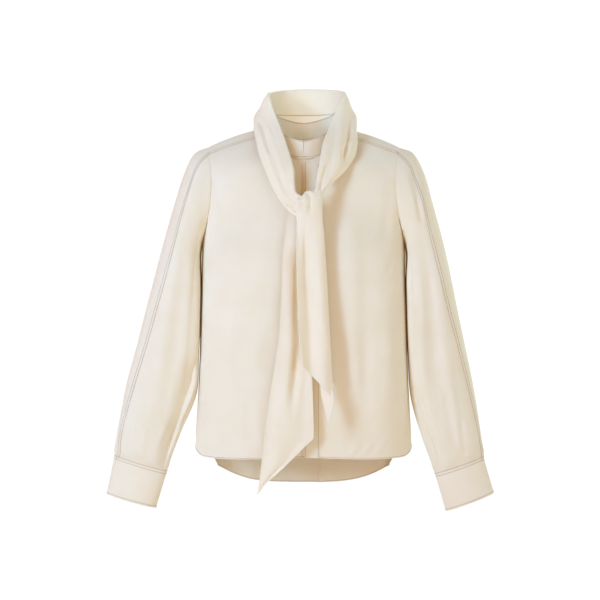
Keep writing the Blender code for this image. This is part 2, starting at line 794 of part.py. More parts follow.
def add_knot():
    """The knot, a soft block with folds running down its front."""
    rings = []
    last = len(KNOT["z"]) - 1
    for k in range(2 * last + 1):
        value = {name: read(KNOT, name, k / 2) for name in KNOT}
        ring = []
        for side in range(KNOT_SIDES):
            a = 2 * math.pi * side / KNOT_SIDES
            x = math.copysign(abs(math.cos(a)) ** KNOT_SQUARENESS, math.cos(a))
            y = math.copysign(abs(math.sin(a)) ** KNOT_SQUARENESS, math.sin(a))
            crease = KNOT_FOLD_DEPTH * math.cos(KNOT_FOLDS * a * 2)
            ring.append(
                (
                    KNOT_X + value["shift"] + (value["half_x"] - 1 + crease) * x,
                    value["y"] + (value["half_y"] - 1 + crease) * y,
                    value["z"],
                )
            )
        rings.append(ring)
    points = [p for ring in rings for p in ring]
    faces = []
    for k in range(len(rings) - 1):
        for side in range(KNOT_SIDES):
            nxt = (side + 1) % KNOT_SIDES
            a, b = k * KNOT_SIDES + side, k * KNOT_SIDES + nxt
            faces.append((a, b, b + KNOT_SIDES, a + KNOT_SIDES))
    faces.append(tuple(reversed(range(KNOT_SIDES))))
    faces.append(tuple(range((len(rings) - 1) * KNOT_SIDES, len(rings) * KNOT_SIDES)))
    return add_object("tie_knot", points, faces)


def build_tail(tail, phase):
    """Surface of a hanging tail, waving softly across its width."""
    count = (len(tail["y"]) - 1) * TAIL_ROW_STEPS
    grid = []
    for k in range(count + 1):
        value = {name: read(tail, name, k / TAIL_ROW_STEPS) for name in tail}
        left = np.array([value["left_x"], value["y"], value["left_z"]])
        right = np.array([value["right_x"], value["y"], value["right_z"]])
        row = []
        for j in range(TAIL_ACROSS + 1):
            u = j / TAIL_ACROSS
            point = left + (right - left) * u
            point[1] -= value["wave"] * math.cos(2 * math.pi * (TAIL_WAVES * u + phase))
            row.append(point)
        grid.append(row)
    return surface(np.array(grid), flip=True)


def add_button(side, sleeve, bottom):
    """A small round button seated on a cuff's lap."""
    cuff = cuff_grid(sleeve, bottom)
    middle = (CUFF_ROWS + 1) // 2
    column = cuff.shape[1] - 1 - CUFF_LAP_STEPS // 2
    seat = cuff[middle, column]
    normal = -grid_normals(cuff)[middle, column]
    if normal[1] < 0:
        normal = -normal
    if side == "right":
        seat = seat * np.array([-1, 1, 1])
        normal = normal * np.array([-1, 1, 1])
    across = np.cross(normal, (0, 0, 1))
    across /= np.linalg.norm(across)
    up = np.cross(across, normal)
    levels = (
        (BUTTON_SEAT, BUTTON_RADIUS - BUTTON_RIM),
        (BUTTON_SEAT + BUTTON_RIM, BUTTON_RADIUS),
        (BUTTON_SEAT + BUTTON_THICKNESS - BUTTON_RIM, BUTTON_RADIUS),
        (BUTTON_SEAT + BUTTON_THICKNESS, BUTTON_RADIUS - BUTTON_RIM),
    )
    points = []
    for height, radius in levels:
        for k in range(BUTTON_SIDES):
            a = 2 * math.pi * k / BUTTON_SIDES
            points.append(seat + normal * height + radius * (math.cos(a) * across + math.sin(a) * up))
    faces = []
    for level in range(len(levels) - 1):
        for k in range(BUTTON_SIDES):
            a = level * BUTTON_SIDES + k
            b = level * BUTTON_SIDES + (k + 1) % BUTTON_SIDES
            faces.append((a, a + BUTTON_SIDES, b + BUTTON_SIDES, b))
    faces.append(tuple(range(BUTTON_SIDES)))
    faces.append(tuple(reversed(range(3 * BUTTON_SIDES, 4 * BUTTON_SIDES))))
    return add_object("cuff_button_" + side, points, faces, BUTTON_COLOUR, 0.35)


def main():
    for item in list(bpy.data.objects):
        bpy.data.objects.remove(item)
    parts = {**build_body(), **build_sleeves(), "collar_stand": build_stand()}
    placket = parts.pop("placket")
    shared = shared_normals(parts.values())
    firm = ("collar_stand", "cuff_left", "cuff_right")
    for name, part in parts.items():
        add_wall(name, part, shared, FIRM_CLOTH if name in firm else BODY_CLOTH)
    add_wall("placket", placket, shared_normals([placket]), PLACKET_CLOTH, PLACKET_CLOTH + PLACKET_GAP)
    hung = {
        "tie_neck": (build_tie_neck(), FIRM_CLOTH),
        "tie_tail_front": (build_tail(TAIL_FRONT, 0.1), TAIL_CLOTH),
        "tie_tail_back": (build_tail(TAIL_BACK, 0.45), TAIL_CLOTH),
    }
    for name, (part, thickness) in hung.items():
        add_wall(name, part, shared_normals([part]), thickness)
    add_knot()
    add_button("left", SLEEVE_LEFT, CUFF_BOTTOM["left"])
    add_button("right", SLEEVE_RIGHT, CUFF_BOTTOM["right"])


main()
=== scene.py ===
# A long-sleeved crepe blouse with a scarf tied round its stand collar, filled out as if worn.
# Tables are in millimetres: +x is the wearer's left, -y the front, +z up, from the middle of the neck seam.

import math

import bpy
import numpy as np
from mathutils import Matrix, Vector


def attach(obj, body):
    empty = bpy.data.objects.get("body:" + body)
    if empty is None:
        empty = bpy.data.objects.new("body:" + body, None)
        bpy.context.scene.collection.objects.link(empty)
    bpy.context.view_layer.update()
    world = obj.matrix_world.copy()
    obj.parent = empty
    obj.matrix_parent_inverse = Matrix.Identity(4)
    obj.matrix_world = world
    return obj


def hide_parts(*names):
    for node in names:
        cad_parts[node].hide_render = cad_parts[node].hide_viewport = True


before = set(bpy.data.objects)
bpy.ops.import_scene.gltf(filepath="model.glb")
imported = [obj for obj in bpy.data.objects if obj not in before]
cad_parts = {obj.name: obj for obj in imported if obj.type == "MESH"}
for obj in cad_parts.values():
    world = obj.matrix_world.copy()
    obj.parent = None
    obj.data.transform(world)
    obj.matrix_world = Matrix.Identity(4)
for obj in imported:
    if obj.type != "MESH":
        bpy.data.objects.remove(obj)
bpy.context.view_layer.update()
for item in list(bpy.context.selected_objects):
    item.select_set(False)

mm = 0.001

print("camera")
cameraSetup = {"place": (-0.0064, -2.6, -0.302), "lens": 85.7, "sensor": 36.0}
# The same view in mm: one dot of the picture is this wide at the plane of the neck
viewSetup = {"dot": 1.82, "distance": 2600, "x": -6.4, "z": -302, "column": 303.5, "row": 134}
cameraData = bpy.data.cameras.new("frontCamera")
cameraData.lens = cameraSetup["lens"]
cameraData.sensor_width = cameraSetup["sensor"]
cameraData.clip_end = 50
camera = bpy.data.objects.new("frontCamera", cameraData)
camera.location = cameraSetup["place"]
camera.rotation_euler = (math.radians(90), 0, 0)
bpy.context.scene.collection.objects.link(camera)
bpy.context.scene.camera = camera


def table(columns, *rows):
    return {name: np.array([row[i] for row in rows], float) for i, name in enumerate(columns.split())}


def smoothCurve(stations, values, at):
    stations = np.asarray(stations, float)
    values = np.asarray(values, float)
    at = np.asarray(at, float)
    step = np.diff(stations)
    slope = np.diff(values) / step
    inner = (slope[:-1] * step[1:] + slope[1:] * step[:-1]) / (step[:-1] + step[1:])
    tangent = np.concatenate([[slope[0]], inner, [slope[-1]]])
    i = np.clip(np.searchsorted(stations, at, side="right") - 1, 0, len(step) - 1)
    t = (at - stations[i]) / step[i]
    start = (1 + 2 * t) * (1 - t) ** 2 * values[i] + t * (1 - t) ** 2 * step[i] * tangent[i]
    return start + t * t * (3 - 2 * t) * values[i + 1] + t * t * (t - 1) * step[i] * tangent[i + 1]


def read(rows, column, at, by=None):
    stations = np.arange(len(rows[column])) if by is None else rows[by]
    return smoothCurve(stations, rows[column], at)


def rowsOf(rows, names):
    return zip(*(rows[name] for name in names.split()))


def ease(x):
    x = np.clip(x, 0, 1)
    return x * x * (3 - 2 * x)


def bump(x):
    x = np.abs(x)
    return np.where(x < 1, (1 + np.cos(np.pi * np.minimum(x, 1))) / 2, 0.0)


def points(x, y, z):
    return np.stack(np.broadcast_arrays(x, y, z), axis=-1).astype(float)


def unit(v):
    return v / np.maximum(np.linalg.norm(v, axis=-1, keepdims=True), 1e-9)


# Places from 0 to 1 along a length in mm, closer together where a seam or hem is sewn
seamSteps = (0.8, 1.6, 2.3, 2.9, 3.6, 4.8, 7.0, 10.0)


def spread(length, step, start=True, end=True):
    first = [0.0] + [s / length for s in seamSteps] if start else [0.0]
    last = [1 - s / length for s in reversed(seamSteps)] + [1.0] if end else [1.0]
    count = max(int(round(length / step)), 3)
    return np.array(first + list(np.linspace(first[-1], last[0], count))[1:-1] + last)


def gridNormals(grid):
    along = np.gradient(grid, axis=0)
    over = np.gradient(grid, axis=1)
    return unit(np.cross(over, along))


def mirrored(grid):
    return grid * np.array([-1, 1, 1])


def edgeDistance(grid, edge):
    # how far each point lies from the first or last row or column, along the cloth
    axis = 0 if edge in ("firstRow", "lastRow") else 1
    step = np.linalg.norm(np.diff(grid, axis=axis), axis=2)
    pad = np.zeros((1, grid.shape[1])) if axis == 0 else np.zeros((grid.shape[0], 1))
    total = np.concatenate([pad, np.cumsum(step, axis=axis)], axis=axis)
    if edge == "firstRow":
        return total
    if edge == "lastRow":
        return total[-1:] - total
    return total if edge == "firstColumn" else total[:, -1:] - total


def frontView(grid):
    # where a point shows in the front view, in dots
    v = viewSetup
    scale = v["distance"] / (v["distance"] + grid[..., 1])
    x = v["column"] + (v["x"] + (grid[..., 0] - v["x"]) * scale) / v["dot"]
    y = v["row"] - (v["z"] + (grid[..., 2] - v["z"]) * scale) / v["dot"]
    return x, y


def creased(grid, outward, creases, facing=-1):
    # troughs (depth above 0) and ridges (below 0) along paths of the front view, with soft uneven ends;
    # a pair of widths is for the two sides of the path, the first towards -x on a path that runs down
    normals = gridNormals(grid) * outward
    x, y = frontView(grid)
    weight = ease(facing * normals[..., 1] * 2.2)
    height = np.zeros(x.shape)
    for number, (width, depth, *path) in enumerate(creases):
        path = np.array(path, float)
        lengths = np.linalg.norm(np.diff(path, axis=0), axis=1)
        starts = np.concatenate([[0], np.cumsum(lengths)])
        nearest = np.full(x.shape, 1e9)
        place = np.zeros(x.shape)
        side = np.zeros(x.shape)
        for k in range(len(lengths)):
            run = path[k + 1] - path[k]
            t = ((x - path[k][0]) * run[0] + (y - path[k][1]) * run[1]) / lengths[k] ** 2
            t = np.clip(t, 0, 1)
            away = np.hypot(x - path[k][0] - t * run[0], y - path[k][1] - t * run[1])
            closer = away < nearest
            nearest = np.where(closer, away, nearest)
            place = np.where(closer, (starts[k] + t * lengths[k]) / starts[-1], place)
            side = np.where(closer, run[0] * (y - path[k][1]) - run[1] * (x - path[k][0]), side)
        ends = ease(place / 0.22) * ease((1 - place) / 0.22)
        uneven = 1 + 0.22 * np.sin(place * 8.3 + number * 1.9) + 0.12 * np.sin(place * 19.7 + number * 2.7)
        first, second = width if isinstance(width, tuple) else (width, width)
        wide = np.where(side > 0, first, second) * (1 + 0.18 * np.sin(place * 6.1 + number))
        height += depth * bump(nearest / wide) * ends * uneven
    return grid - normals * (height * weight)[..., None]


def rippled(grid, outward, size, depth, seed):
    # the slow unevenness that keeps limp cloth from looking pressed
    normals = gridNormals(grid) * outward
    p = grid / size
    wave = (
        np.sin(p[..., 0] * 1.0 + 0.6 * np.sin(p[..., 2] * 0.45 + seed) + seed)
        + 0.7 * np.sin(p[..., 0] * 1.9 - p[..., 2] * 0.35 + 2.1 * seed)
        + 0.5 * np.sin(p[..., 0] * 3.1 + p[..., 2] * 0.6 + p[..., 1] * 0.9 + 3.7 * seed)
    )
    fade = 1.0
    for edge in ("firstRow", "lastRow", "firstColumn", "lastColumn"):
        fade = fade * ease(edgeDistance(grid, edge) / 35)
    return grid + normals * (depth * wave * fade)[..., None]


# How cloth rises and dips beside what is sewn, by the distance from its edge
def seamProfile(d):
    ridge = 0.6 * (1 - ease((d - 1.9) / 1.6))
    return ridge - 0.3 * np.exp(-(((d - 2.9) / 0.7) ** 2)) - 0.25 * np.exp(-((d / 0.6) ** 2))


def plainSeamProfile(d):
    return -0.45 * np.exp(-((d / 1.6) ** 2))


def hemProfile(d):
    band = 0.3 * (1 - ease((d - 3.2) / 1.5))
    return band - 0.3 * np.exp(-(((d - 2.2) / 0.7) ** 2)) - 0.2 * np.exp(-((d / 0.6) ** 2))


edgeProfiles = {"seam": seamProfile, "plain": plainSeamProfile, "hem": hemProfile}


def sewn(grid, outward, edges):
    normals = gridNormals(grid) * outward
    height = 0.0
    for edge, kind in edges.items():
        height = height + edgeProfiles[kind](edgeDistance(grid, edge))
    return grid + normals * height[..., None]


def drawnIn(grid, amount=0.06):
    # every free edge moves in a little, which leaves the fine line of a seam
    moved = grid.copy()
    for edge, inner in ((0, 1), (-1, -2)):
        moved[edge] += unit(grid[inner] - grid[edge]) * amount
        moved[:, edge] += unit(grid[:, inner] - grid[:, edge]) * amount
    return moved


def addMesh(name, vertices, faces, material, smoothAngle=38):
    mesh = bpy.data.meshes.new(name)
    mesh.from_pydata((np.asarray(vertices) * mm).tolist(), [], faces)
    mesh.validate()
    mesh.update()
    mesh.shade_smooth()
    mesh.set_sharp_from_angle(angle=math.radians(smoothAngle))
    mesh.materials.append(material)
    item = bpy.data.objects.new(name, mesh)
    bpy.context.scene.collection.objects.link(item)
    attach(item, "root")
    return item


def shellData(grid, outward, thickness, split=None, normals=None, hole=None):
    # the outer face is the grid and the inner face lies one thickness in; split is (row, column) of a slit,
    # hole is (column, row): that column and the next are one line up to the row and stand apart above it
    if normals is None:
        normals = gridNormals(grid) * outward
    rows, columns = grid.shape[:2]
    ids = np.arange(rows * columns).reshape(rows, columns)
    outside = grid.reshape(-1, 3).copy()
    inside = (grid - normals * thickness).reshape(-1, 3)
    quads = np.stack([ids[:-1, :-1], ids[:-1, 1:], ids[1:, 1:], ids[1:, :-1]], axis=-1).reshape(-1, 4)
    if split is not None:
        firstRow, column = split
        twins = {}
        for i in range(firstRow, rows):
            twins[int(ids[i, column])] = len(outside) + len(twins)
        old = list(twins)
        toRight = unit(grid[firstRow:, column + 1] - grid[firstRow:, column])
        toLeft = unit(grid[firstRow:, column - 1] - grid[firstRow:, column])
        grow = ease(np.arange(len(old)) / 4)[:, None]
        outside = np.concatenate([outside, outside[old] + toRight * 0.5 * grow])
        inside = np.concatenate([inside, inside[old] + toRight * 0.5 * grow])
        outside[old] += toLeft * 0.5 * grow
        inside[old] += toLeft * 0.5 * grow
        cells = np.arange(len(quads)) % (columns - 1)
        for number in np.nonzero(cells >= column)[0]:
            quads[number] = [twins.get(int(i), int(i)) for i in quads[number]]
    if hole is not None:
        column, row = hole
        same = {int(ids[i, column + 1]): int(ids[i, column]) for i in range(row + 1)}
        cells = np.arange(len(quads)) % (columns - 1)
        quads = np.array([[same.get(int(i), int(i)) for i in quad] for quad in quads[cells != column]])
    if outward < 0:
        quads = quads[:, ::-1]
    count = len(outside)
    used = {}
    for face in quads.tolist():
        for a, b in zip(face, face[1:] + face[:1]):
            used[(a, b)] = True
    rim = [(b, a, a + count, b + count) for a, b in used if (b, a) not in used]
    faces = quads.tolist() + (quads[:, ::-1] + count).tolist() + rim
    return np.concatenate([outside, inside]), faces


def joinedData(*parts):
    vertices, faces = [], []
    for part, own in parts:
        start = sum(len(v) for v in vertices)
        vertices.append(part)
        faces += [[i + start for i in face] for face in own]
    return np.concatenate(vertices), faces


# Stitches: one short arched run of thread for each, along a line on the cloth
threadSetup = {"length": 2.8, "pitch": 3.7, "radius": 0.40, "sides": 5}


def stitchTemplate():
    s = threadSetup
    rings = ((-0.5, 0.3, -0.28), (-0.3, 0.9, 0.05), (0.3, 0.9, 0.05), (0.5, 0.3, -0.28))
    vertices, faces = [], []
    for place, size, rise in rings:
        for k in range(s["sides"]):
            a = 2 * math.pi * k / s["sides"]
            radius = s["radius"] * size
            vertices.append((place * s["length"], math.cos(a) * radius, math.sin(a) * radius + rise))
    n = s["sides"]
    for ring in range(len(rings) - 1):
        for k in range(n):
            a, b = ring * n + k, ring * n + (k + 1) % n
            faces.append((a, b, b + n, a + n))
    faces.append(tuple(reversed(range(n))))
    faces.append(tuple(range(3 * n, 4 * n)))
    return np.array(vertices), faces


stitchShape, stitchFaces = stitchTemplate()


def stitchLine(line, normals):
    # centres, directions and normals of the stitches along a line
    step = np.linalg.norm(np.diff(line, axis=0), axis=1)
    length = np.concatenate([[0], np.cumsum(step)])
    count = max(int(length[-1] // threadSetup["pitch"]), 1)
    at = (np.arange(count) + 0.5) * length[-1] / count
    centre = np.stack([np.interp(at, length, line[:, k]) for k in range(3)], axis=1)
    ahead = np.stack([np.interp(at + 1.2, length, line[:, k]) for k in range(3)], axis=1)
    behind = np.stack([np.interp(at - 1.2, length, line[:, k]) for k in range(3)], axis=1)
    normal = unit(np.stack([np.interp(at, length, normals[:, k]) for k in range(3)], axis=1))
    return centre, unit(ahead - behind), normal


def addStitches(name, lines, material):
    vertices, faces = [], []
    start = 0
    for line, normals in lines:
        for centre, along, normal in zip(*stitchLine(line, normals)):
            side = unit(np.cross(normal, along))
            normal = np.cross(along, side)
            x, y, z = stitchShape[:, :1], stitchShape[:, 1:2], stitchShape[:, 2:]
            vertices.append(centre + along * x + side * y + normal * (z + 0.2))
            faces += [[i + start for i in face] for face in stitchFaces]
            start += len(stitchShape)
    item = addMesh(name, np.concatenate(vertices), faces, material, smoothAngle=60)
    return item


def rowBeside(grid, outward, edge, distance, start=0.0, end=1.0):
    # the line at a distance from an edge of a grid, from a share of its length to another
    normals = gridNormals(grid) * outward
    if edge in ("firstRow", "lastRow"):
        grid, normals = grid.transpose(1, 0, 2), normals.transpose(1, 0, 2)
    if edge in ("lastRow", "lastColumn"):
        grid, normals = grid[:, ::-1], normals[:, ::-1]
    line, sides = [], []
    for row, normal in zip(grid, normals):
        reach = np.concatenate([[0], np.cumsum(np.linalg.norm(np.diff(row, axis=0), axis=1))])
        line.append([np.interp(distance, reach, row[:, k]) for k in range(3)])
        sides.append([np.interp(distance, reach, normal[:, k]) for k in range(3)])
    line, sides = np.array(line), np.array(sides)
    first, last = int(start * (len(line) - 1)), int(round(end * (len(line) - 1)))
    return line[first : last + 1], sides[first : last + 1]


def linear(code):
    channels = [int(code[i : i + 2], 16) / 255 for i in (1, 3, 5)]
    return tuple(c / 12.92 if c <= 0.04045 else ((c + 0.055) / 1.055) ** 2.4 for c in channels) + (1.0,)


def addNode(material, kind, settings=None, links=None, **properties):
    nodes = material.node_tree.nodes
    node = nodes.new(kind)
    for name, value in properties.items():
        setattr(node, name, value)
    for name, value in (settings or {}).items():
        node.inputs[name].default_value = value
    for name, (source, socket) in (links or {}).items():
        material.node_tree.links.new(source.outputs[socket], node.inputs[name])
    return node


def newMaterial(name, settings):
    material = bpy.data.materials.new(name)
    material.use_nodes = True
    shader = material.node_tree.nodes["Principled BSDF"]
    for socket, value in settings.items():
        shader.inputs[socket].default_value = value
    return material, shader


# Polyester crepe: hard-twisted yarns give a dry, matte, finely pebbled face with a faint bloom at
# grazing angles. The pebbles are about 0.9 mm here, coarser than the real 0.4 mm, so that they show.
crepeSetup = {
    "colour": "#F4E8CB",
    "shade": "#F2E5C6",
    "light": "#F6EBD1",
    "pebble": 0.9,
    "thread": 0.55,
    "bloom": 0.18,
}


def crepeMaterial(name, colour, shade, light):
    s = crepeSetup
    material, shader = newMaterial(
        name,
        {
            "Roughness": 0.82,
            "Sheen Weight": s["bloom"],
            "Sheen Roughness": 0.5,
            "Sheen Tint": linear("#FFF6E8"),
            "Specular IOR Level": 0.25,
            "Subsurface Weight": 0.12,
            "Subsurface Scale": 0.002,
            "Subsurface Radius": (1.0, 0.72, 0.42),
        },
    )
    place = addNode(material, "ShaderNodeTexCoord")
    cloud = addNode(
        material,
        "ShaderNodeTexNoise",
        {"Scale": 1000 / 55, "Detail": 3, "Roughness": 0.55},
        {"Vector": (place, "Object")},
    )
    pebble = addNode(
        material,
        "ShaderNodeTexVoronoi",
        {"Scale": 1000 / s["pebble"], "Randomness": 1.0},
        {"Vector": (place, "Object")},
        feature="SMOOTH_F1",
    )
    slub = addNode(
        material,
        "ShaderNodeTexNoise",
        {"Scale": 1000 / s["thread"], "Detail": 2, "Roughness": 0.6},
        {"Vector": (place, "Object")},
    )
    tone = addNode(material, "ShaderNodeValToRGB", {}, {"Fac": (cloud, "Fac")})
    tone.color_ramp.elements[0].position = 0.3
    tone.color_ramp.elements[0].color = linear(shade)
    tone.color_ramp.elements[1].position = 0.72
    tone.color_ramp.elements[1].color = linear(light)
    middle = tone.color_ramp.elements.new(0.5)
    middle.color = linear(colour)
    soften = addNode(material, "ShaderNodeMapRange", {"To Min": 0.0, "To Max": 0.35}, {"Value": (slub, "Fac")})
    dips = addNode(material, "ShaderNodeMix", data_type="RGBA")
    dips.inputs["B"].default_value = linear(shade)
    material.node_tree.links.new(tone.outputs["Color"], dips.inputs["A"])
    material.node_tree.links.new(soften.outputs["Result"], dips.inputs["Factor"])
    relief = addNode(material, "ShaderNodeMath", {1: 0.6}, {0: (pebble, "Distance")}, operation="MULTIPLY")
    both = addNode(material, "ShaderNodeMath", {}, {0: (relief, "Value"), 1: (slub, "Fac")}, operation="ADD")
    bumps = addNode(
        material,
        "ShaderNodeBump",
        {"Strength": 0.22, "Distance": 0.00025},
        {"Height": (both, "Value")},
    )
    links = material.node_tree.links
    links.new(dips.outputs["Result"], shader.inputs["Base Color"])
    links.new(bumps.outputs["Normal"], shader.inputs["Normal"])
    return material


blouseCrepe = crepeMaterial("ivoryPolyesterCrepe", crepeSetup["colour"], crepeSetup["shade"], crepeSetup["light"])
tieCrepe = crepeMaterial("ivoryPolyesterCrepeTie", "#F5E9CC", "#F3E6C7", "#F7ECD2")

# Spun polyester topstitch thread, a shade darker than the cloth, twisted and slightly glossy
threadMaterial, threadShader = newMaterial(
    "taupePolyesterThread",
    {"Base Color": linear("#9A7454"), "Roughness": 0.6, "Sheen Weight": 0.1, "Specular IOR Level": 0.35},
)
twistPlace = addNode(threadMaterial, "ShaderNodeTexCoord")
twist = addNode(
    threadMaterial,
    "ShaderNodeTexNoise",
    {"Scale": 1000 / 0.6, "Detail": 2},
    {"Vector": (twistPlace, "Object")},
)
twistBump = addNode(
    threadMaterial, "ShaderNodeBump", {"Strength": 0.3, "Distance": 0.0002}, {"Height": (twist, "Fac")}
)
threadMaterial.node_tree.links.new(twistBump.outputs["Normal"], threadShader.inputs["Normal"])

# Polyester shirt button: cast, turned and tumbled, milky with a soft gloss
buttonMaterial, buttonShader = newMaterial(
    "creamPolyesterButton",
    {
        "Base Color": linear("#E6D9C2"),
        "Roughness": 0.28,
        "IOR": 1.55,
        "Coat Weight": 0.2,
        "Subsurface Weight": 0.2,
        "Subsurface Scale": 0.001,
    },
)
buttonPlace = addNode(buttonMaterial, "ShaderNodeTexCoord")
buttonCloud = addNode(
    buttonMaterial, "ShaderNodeTexNoise", {"Scale": 1000 / 2.5, "Detail": 3}, {"Vector": (buttonPlace, "Object")}
)
buttonTone = addNode(buttonMaterial, "ShaderNodeValToRGB", {}, {"Fac": (buttonCloud, "Fac")})
buttonTone.color_ramp.elements[0].color = linear("#DFD0B6")
buttonTone.color_ramp.elements[1].color = linear("#EEE4D2")
buttonMaterial.node_tree.links.new(buttonTone.outputs["Color"], buttonShader.inputs["Base Color"])


print("body")
neckRing = {
    "halfWidth": 68.0,
    "halfDepth": 66.0,
    "middle": 5.0,
    "topWidth": 62.0,
    "topDepth": 59.0,
    "shoulderSeam": 72.0,
}
neck = table(
    "angle seam_z top_z",
    (-30, -43, -7.5),
    (0, -50, -18),
    (30, -43, -7.5),
    (50, -27, 5),
    (72, -2, 31),
    (90, 11, 42),
    (135, 5, 37),
    (180, -4, 29),
    (225, 5, 37),
)
body = table(
    "z half_width front_y back_y",
    (-540, 195.5, -99.5, 96),
    (-478, 191.5, -101.5, 95),
    (-400, 188.5, -104, 93),
    (-316, 186.5, -106, 91.5),
    (-243, 184.6, -105.5, 92.5),
    (-205, 184, -102, 94),
)
frontCentre = table("z y", (-205, -102), (-165, -94.5), (-127, -84.5), (-80, -70), (-50, -61))
backCentre = table("z y", (-205, 94), (-130, 91), (-80, 86), (-40, 79), (-4, 71))
frontTail = table(
    "inner_y inner_z outer_x outer_y outer_z",
    (-98, -577.5, 195.8, -11, -577),
    (-99, -560, 195.6, -4, -560),
    (-99.5, -540, 195.5, 0, -540),
)
backTail = table(
    "inner_y inner_z outer_x outer_y outer_z",
    (95, -645.5, 158, 42, -609),
    (96, -612, 168, 32, -588),
    (96, -575, 183, 15, -564),
    (96, -540, 195.5, 0, -540),
)
frontChest = table(
    "at round swell lift power",
    (0, 1, 0, 0, 1),
    (0.34, 0.8, 3, 0, 1.2),
    (0.64, 0.45, 8, 0, 2.2),
    (0.8, 0.3, 5, 1, 1.4),
    (1, 0.1, 1, 2, 1),
)
backChest = table(
    "at round swell lift power",
    (0, 1, 0, 0, 1),
    (0.3, 0.85, 4, 0, 1.1),
    (0.6, 0.6, 7, 1, 1.5),
    (0.86, 0.2, 1, 4, 1.1),
    (1, 0.1, 0, 2, 1),
)
frontRightFolds = table(
    "across width low high depth",
    (0.30, 0.10, -640, -330, 3.0),
    (0.52, 0.12, -640, -250, -3.0),
    (0.74, 0.10, -600, -120, 3.0),
)
frontLeftFolds = table(
    "across width low high depth",
    (0.34, 0.12, -620, -300, -3.0),
    (0.54, 0.10, -640, -380, 3.0),
    (0.76, 0.10, -600, -130, 2.5),
)
backFolds = table(
    "across width low high depth",
    (-0.74, 0.10, -600, -140, 3.0),
    (-0.46, 0.13, -720, -260, -4.0),
    (-0.24, 0.10, -760, -420, 5.0),
    (0.10, 0.10, -760, -400, 5.0),
    (0.36, 0.13, -720, -240, -4.0),
    (0.74, 0.10, -600, -150, 3.0),
)
bodySetup = {
    "cloth": 0.9,
    "step": 4.0,
    "hemDip": 6.0,
    "hemCorner": 15.0,
    "hemPower": 3.4,
    "armholeSeam": 147.8,
    "frontNeckAt": 7 / 11,
    "backNeckAt": 10 / 17,
    "boxy": 0.36,
    "chestSmooth": (8, 30),  # rows each way and passes
    "neckSmooth": (10, 40),
    "hemLength": 37,
    "tailLength": 105,
    "frontArmhole": 205,
    "backArmhole": 330,
}

# Creases as (width in dots, depth in mm, places in the front view)
frontRightCreases = (
    (13, -2.2, (229, 320), (230, 390), (229, 452)),
    (13, 2.6, (245, 360), (249, 410), (251, 455)),
    (12, 1.6, (221, 215), (218, 270), (217, 330)),
    (15, 2.4, (276, 318), (262, 375), (254, 430)),
    (9, 1.4, (213, 172), (221, 205), (224, 245)),
    (6, -1.1, (203, 440), (212, 452), (216, 458)),
    (8, -1.6, (270, 400), (272, 430), (271, 458)),
)
frontLeftCreases = (
    (13, -2.4, (350, 205), (352, 300), (357, 400)),
    (13, 2.2, (367, 235), (368, 330), (365, 430)),
    (12, -1.8, (384, 280), (388, 350), (389, 410)),
    (5, 1.1, (387, 276), (392, 262), (396, 250)),
    (4.5, -1.5, (350, 457), (354, 449), (361, 440)),
    (4.5, -1.5, (362, 457), (367, 449), (374, 441)),
    (5, -1.3, (374, 456), (380, 448), (388, 438)),
    (9, 1.4, (394, 172), (388, 205), (385, 245)),
)
backCreases = (
    ((2.5, 16), 7.0, (321, 425), (320, 455), (321, 492)),
    ((9, 3), 3.5, (262, 440), (263, 470), (264, 492)),
    (14, 3.5, (262, 300), (258, 380), (254, 520)),
    (14, -3.0, (285, 330), (284, 400), (286, 520)),
    ((12, 5), 6.0, (316, 320), (320, 420), (321, 530)),
    (13, -3.0, (350, 250), (352, 340), (350, 520)),
    (11, 1.8, (222, 190), (228, 260), (226, 340)),
    (11, 1.8, (386, 190), (380, 260), (383, 350)),
    (12, -1.5, (240, 300), (238, 380), (240, 455)),
    (9, 1.3, (280, 150), (300, 165), (330, 152)),
)


def neckPoint(angle):
    a = np.radians(angle)
    n = neckRing
    z = read(neck, "seam_z", angle, by="angle")
    return points(n["halfWidth"] * np.sin(a), n["middle"] - n["halfDepth"] * np.cos(a), z)


def standTopPoint(angle):
    a = np.radians(angle)
    n = neckRing
    z = read(neck, "top_z", angle, by="angle")
    return points(n["topWidth"] * np.sin(a), n["middle"] - n["topDepth"] * np.cos(a), z)


def sleevePoint(sleeve, ring, angle):
    # angle 0 at the body, 90 in front and 180 outside
    v = {name: read(sleeve, name, ring) for name in sleeve}
    a = np.radians(angle)
    x = (v["inner_x"] + v["outer_x"]) / 2 - (v["outer_x"] - v["inner_x"]) / 2 * np.cos(a)
    z = (v["inner_z"] + v["outer_z"]) / 2 - (v["outer_z"] - v["inner_z"]) / 2 * np.cos(a)
    # beside the body the front stays full almost to the edge
    full = ease(ring / 1.5) * (1 - ease((np.asarray(ring) - 6.5) / 2.5))
    front = np.clip(np.sin(a), 0, 1)
    forward = np.where(np.cos(a) > 0, front ** (1 - 0.45 * full), front) + np.clip(np.sin(a), -1, 0)
    return points(x - v["scoop"] * np.sin(a) ** 2, v["y"] - v["depth"] * forward, z)


sleeveColumns = "inner_x inner_z outer_x outer_z depth y over under scoop"
armholeRow = (184, -205, 173, -24, 60, 2, 180 - bodySetup["armholeSeam"], 0, 13)
sleeveRight = table(
    sleeveColumns,
    armholeRow,
    (186.4, -213, 200, -38, 61.5, 1, 48, 0, 9),
    (187, -223, 219.5, -80, 62.5, -1, 60, 1, 4),
    (186.6, -237, 235, -129, 62.5, -4, 64, 3, 1),
    (186, -258, 249, -181, 61.5, -8, 64, 5, 0),
    (185.8, -287, 263, -234, 59.5, -12, 61, 8, 0),
    (186.8, -336, 281, -306, 54, -17, 55, 12, 0),
    (189, -402, 299, -379, 45, -21, 47, 17, 0),
    (193, -472, 317, -446, 35, -25, 40, 22, 0),
    (221, -541, 331, -516, 34, -28, 34, 26, 0),
    (239, -588, 338, -560, 29, -30, 33, 27, 0),
    (246, -611.5, 340, -583, 19, -31, 33, 28, 0),
)
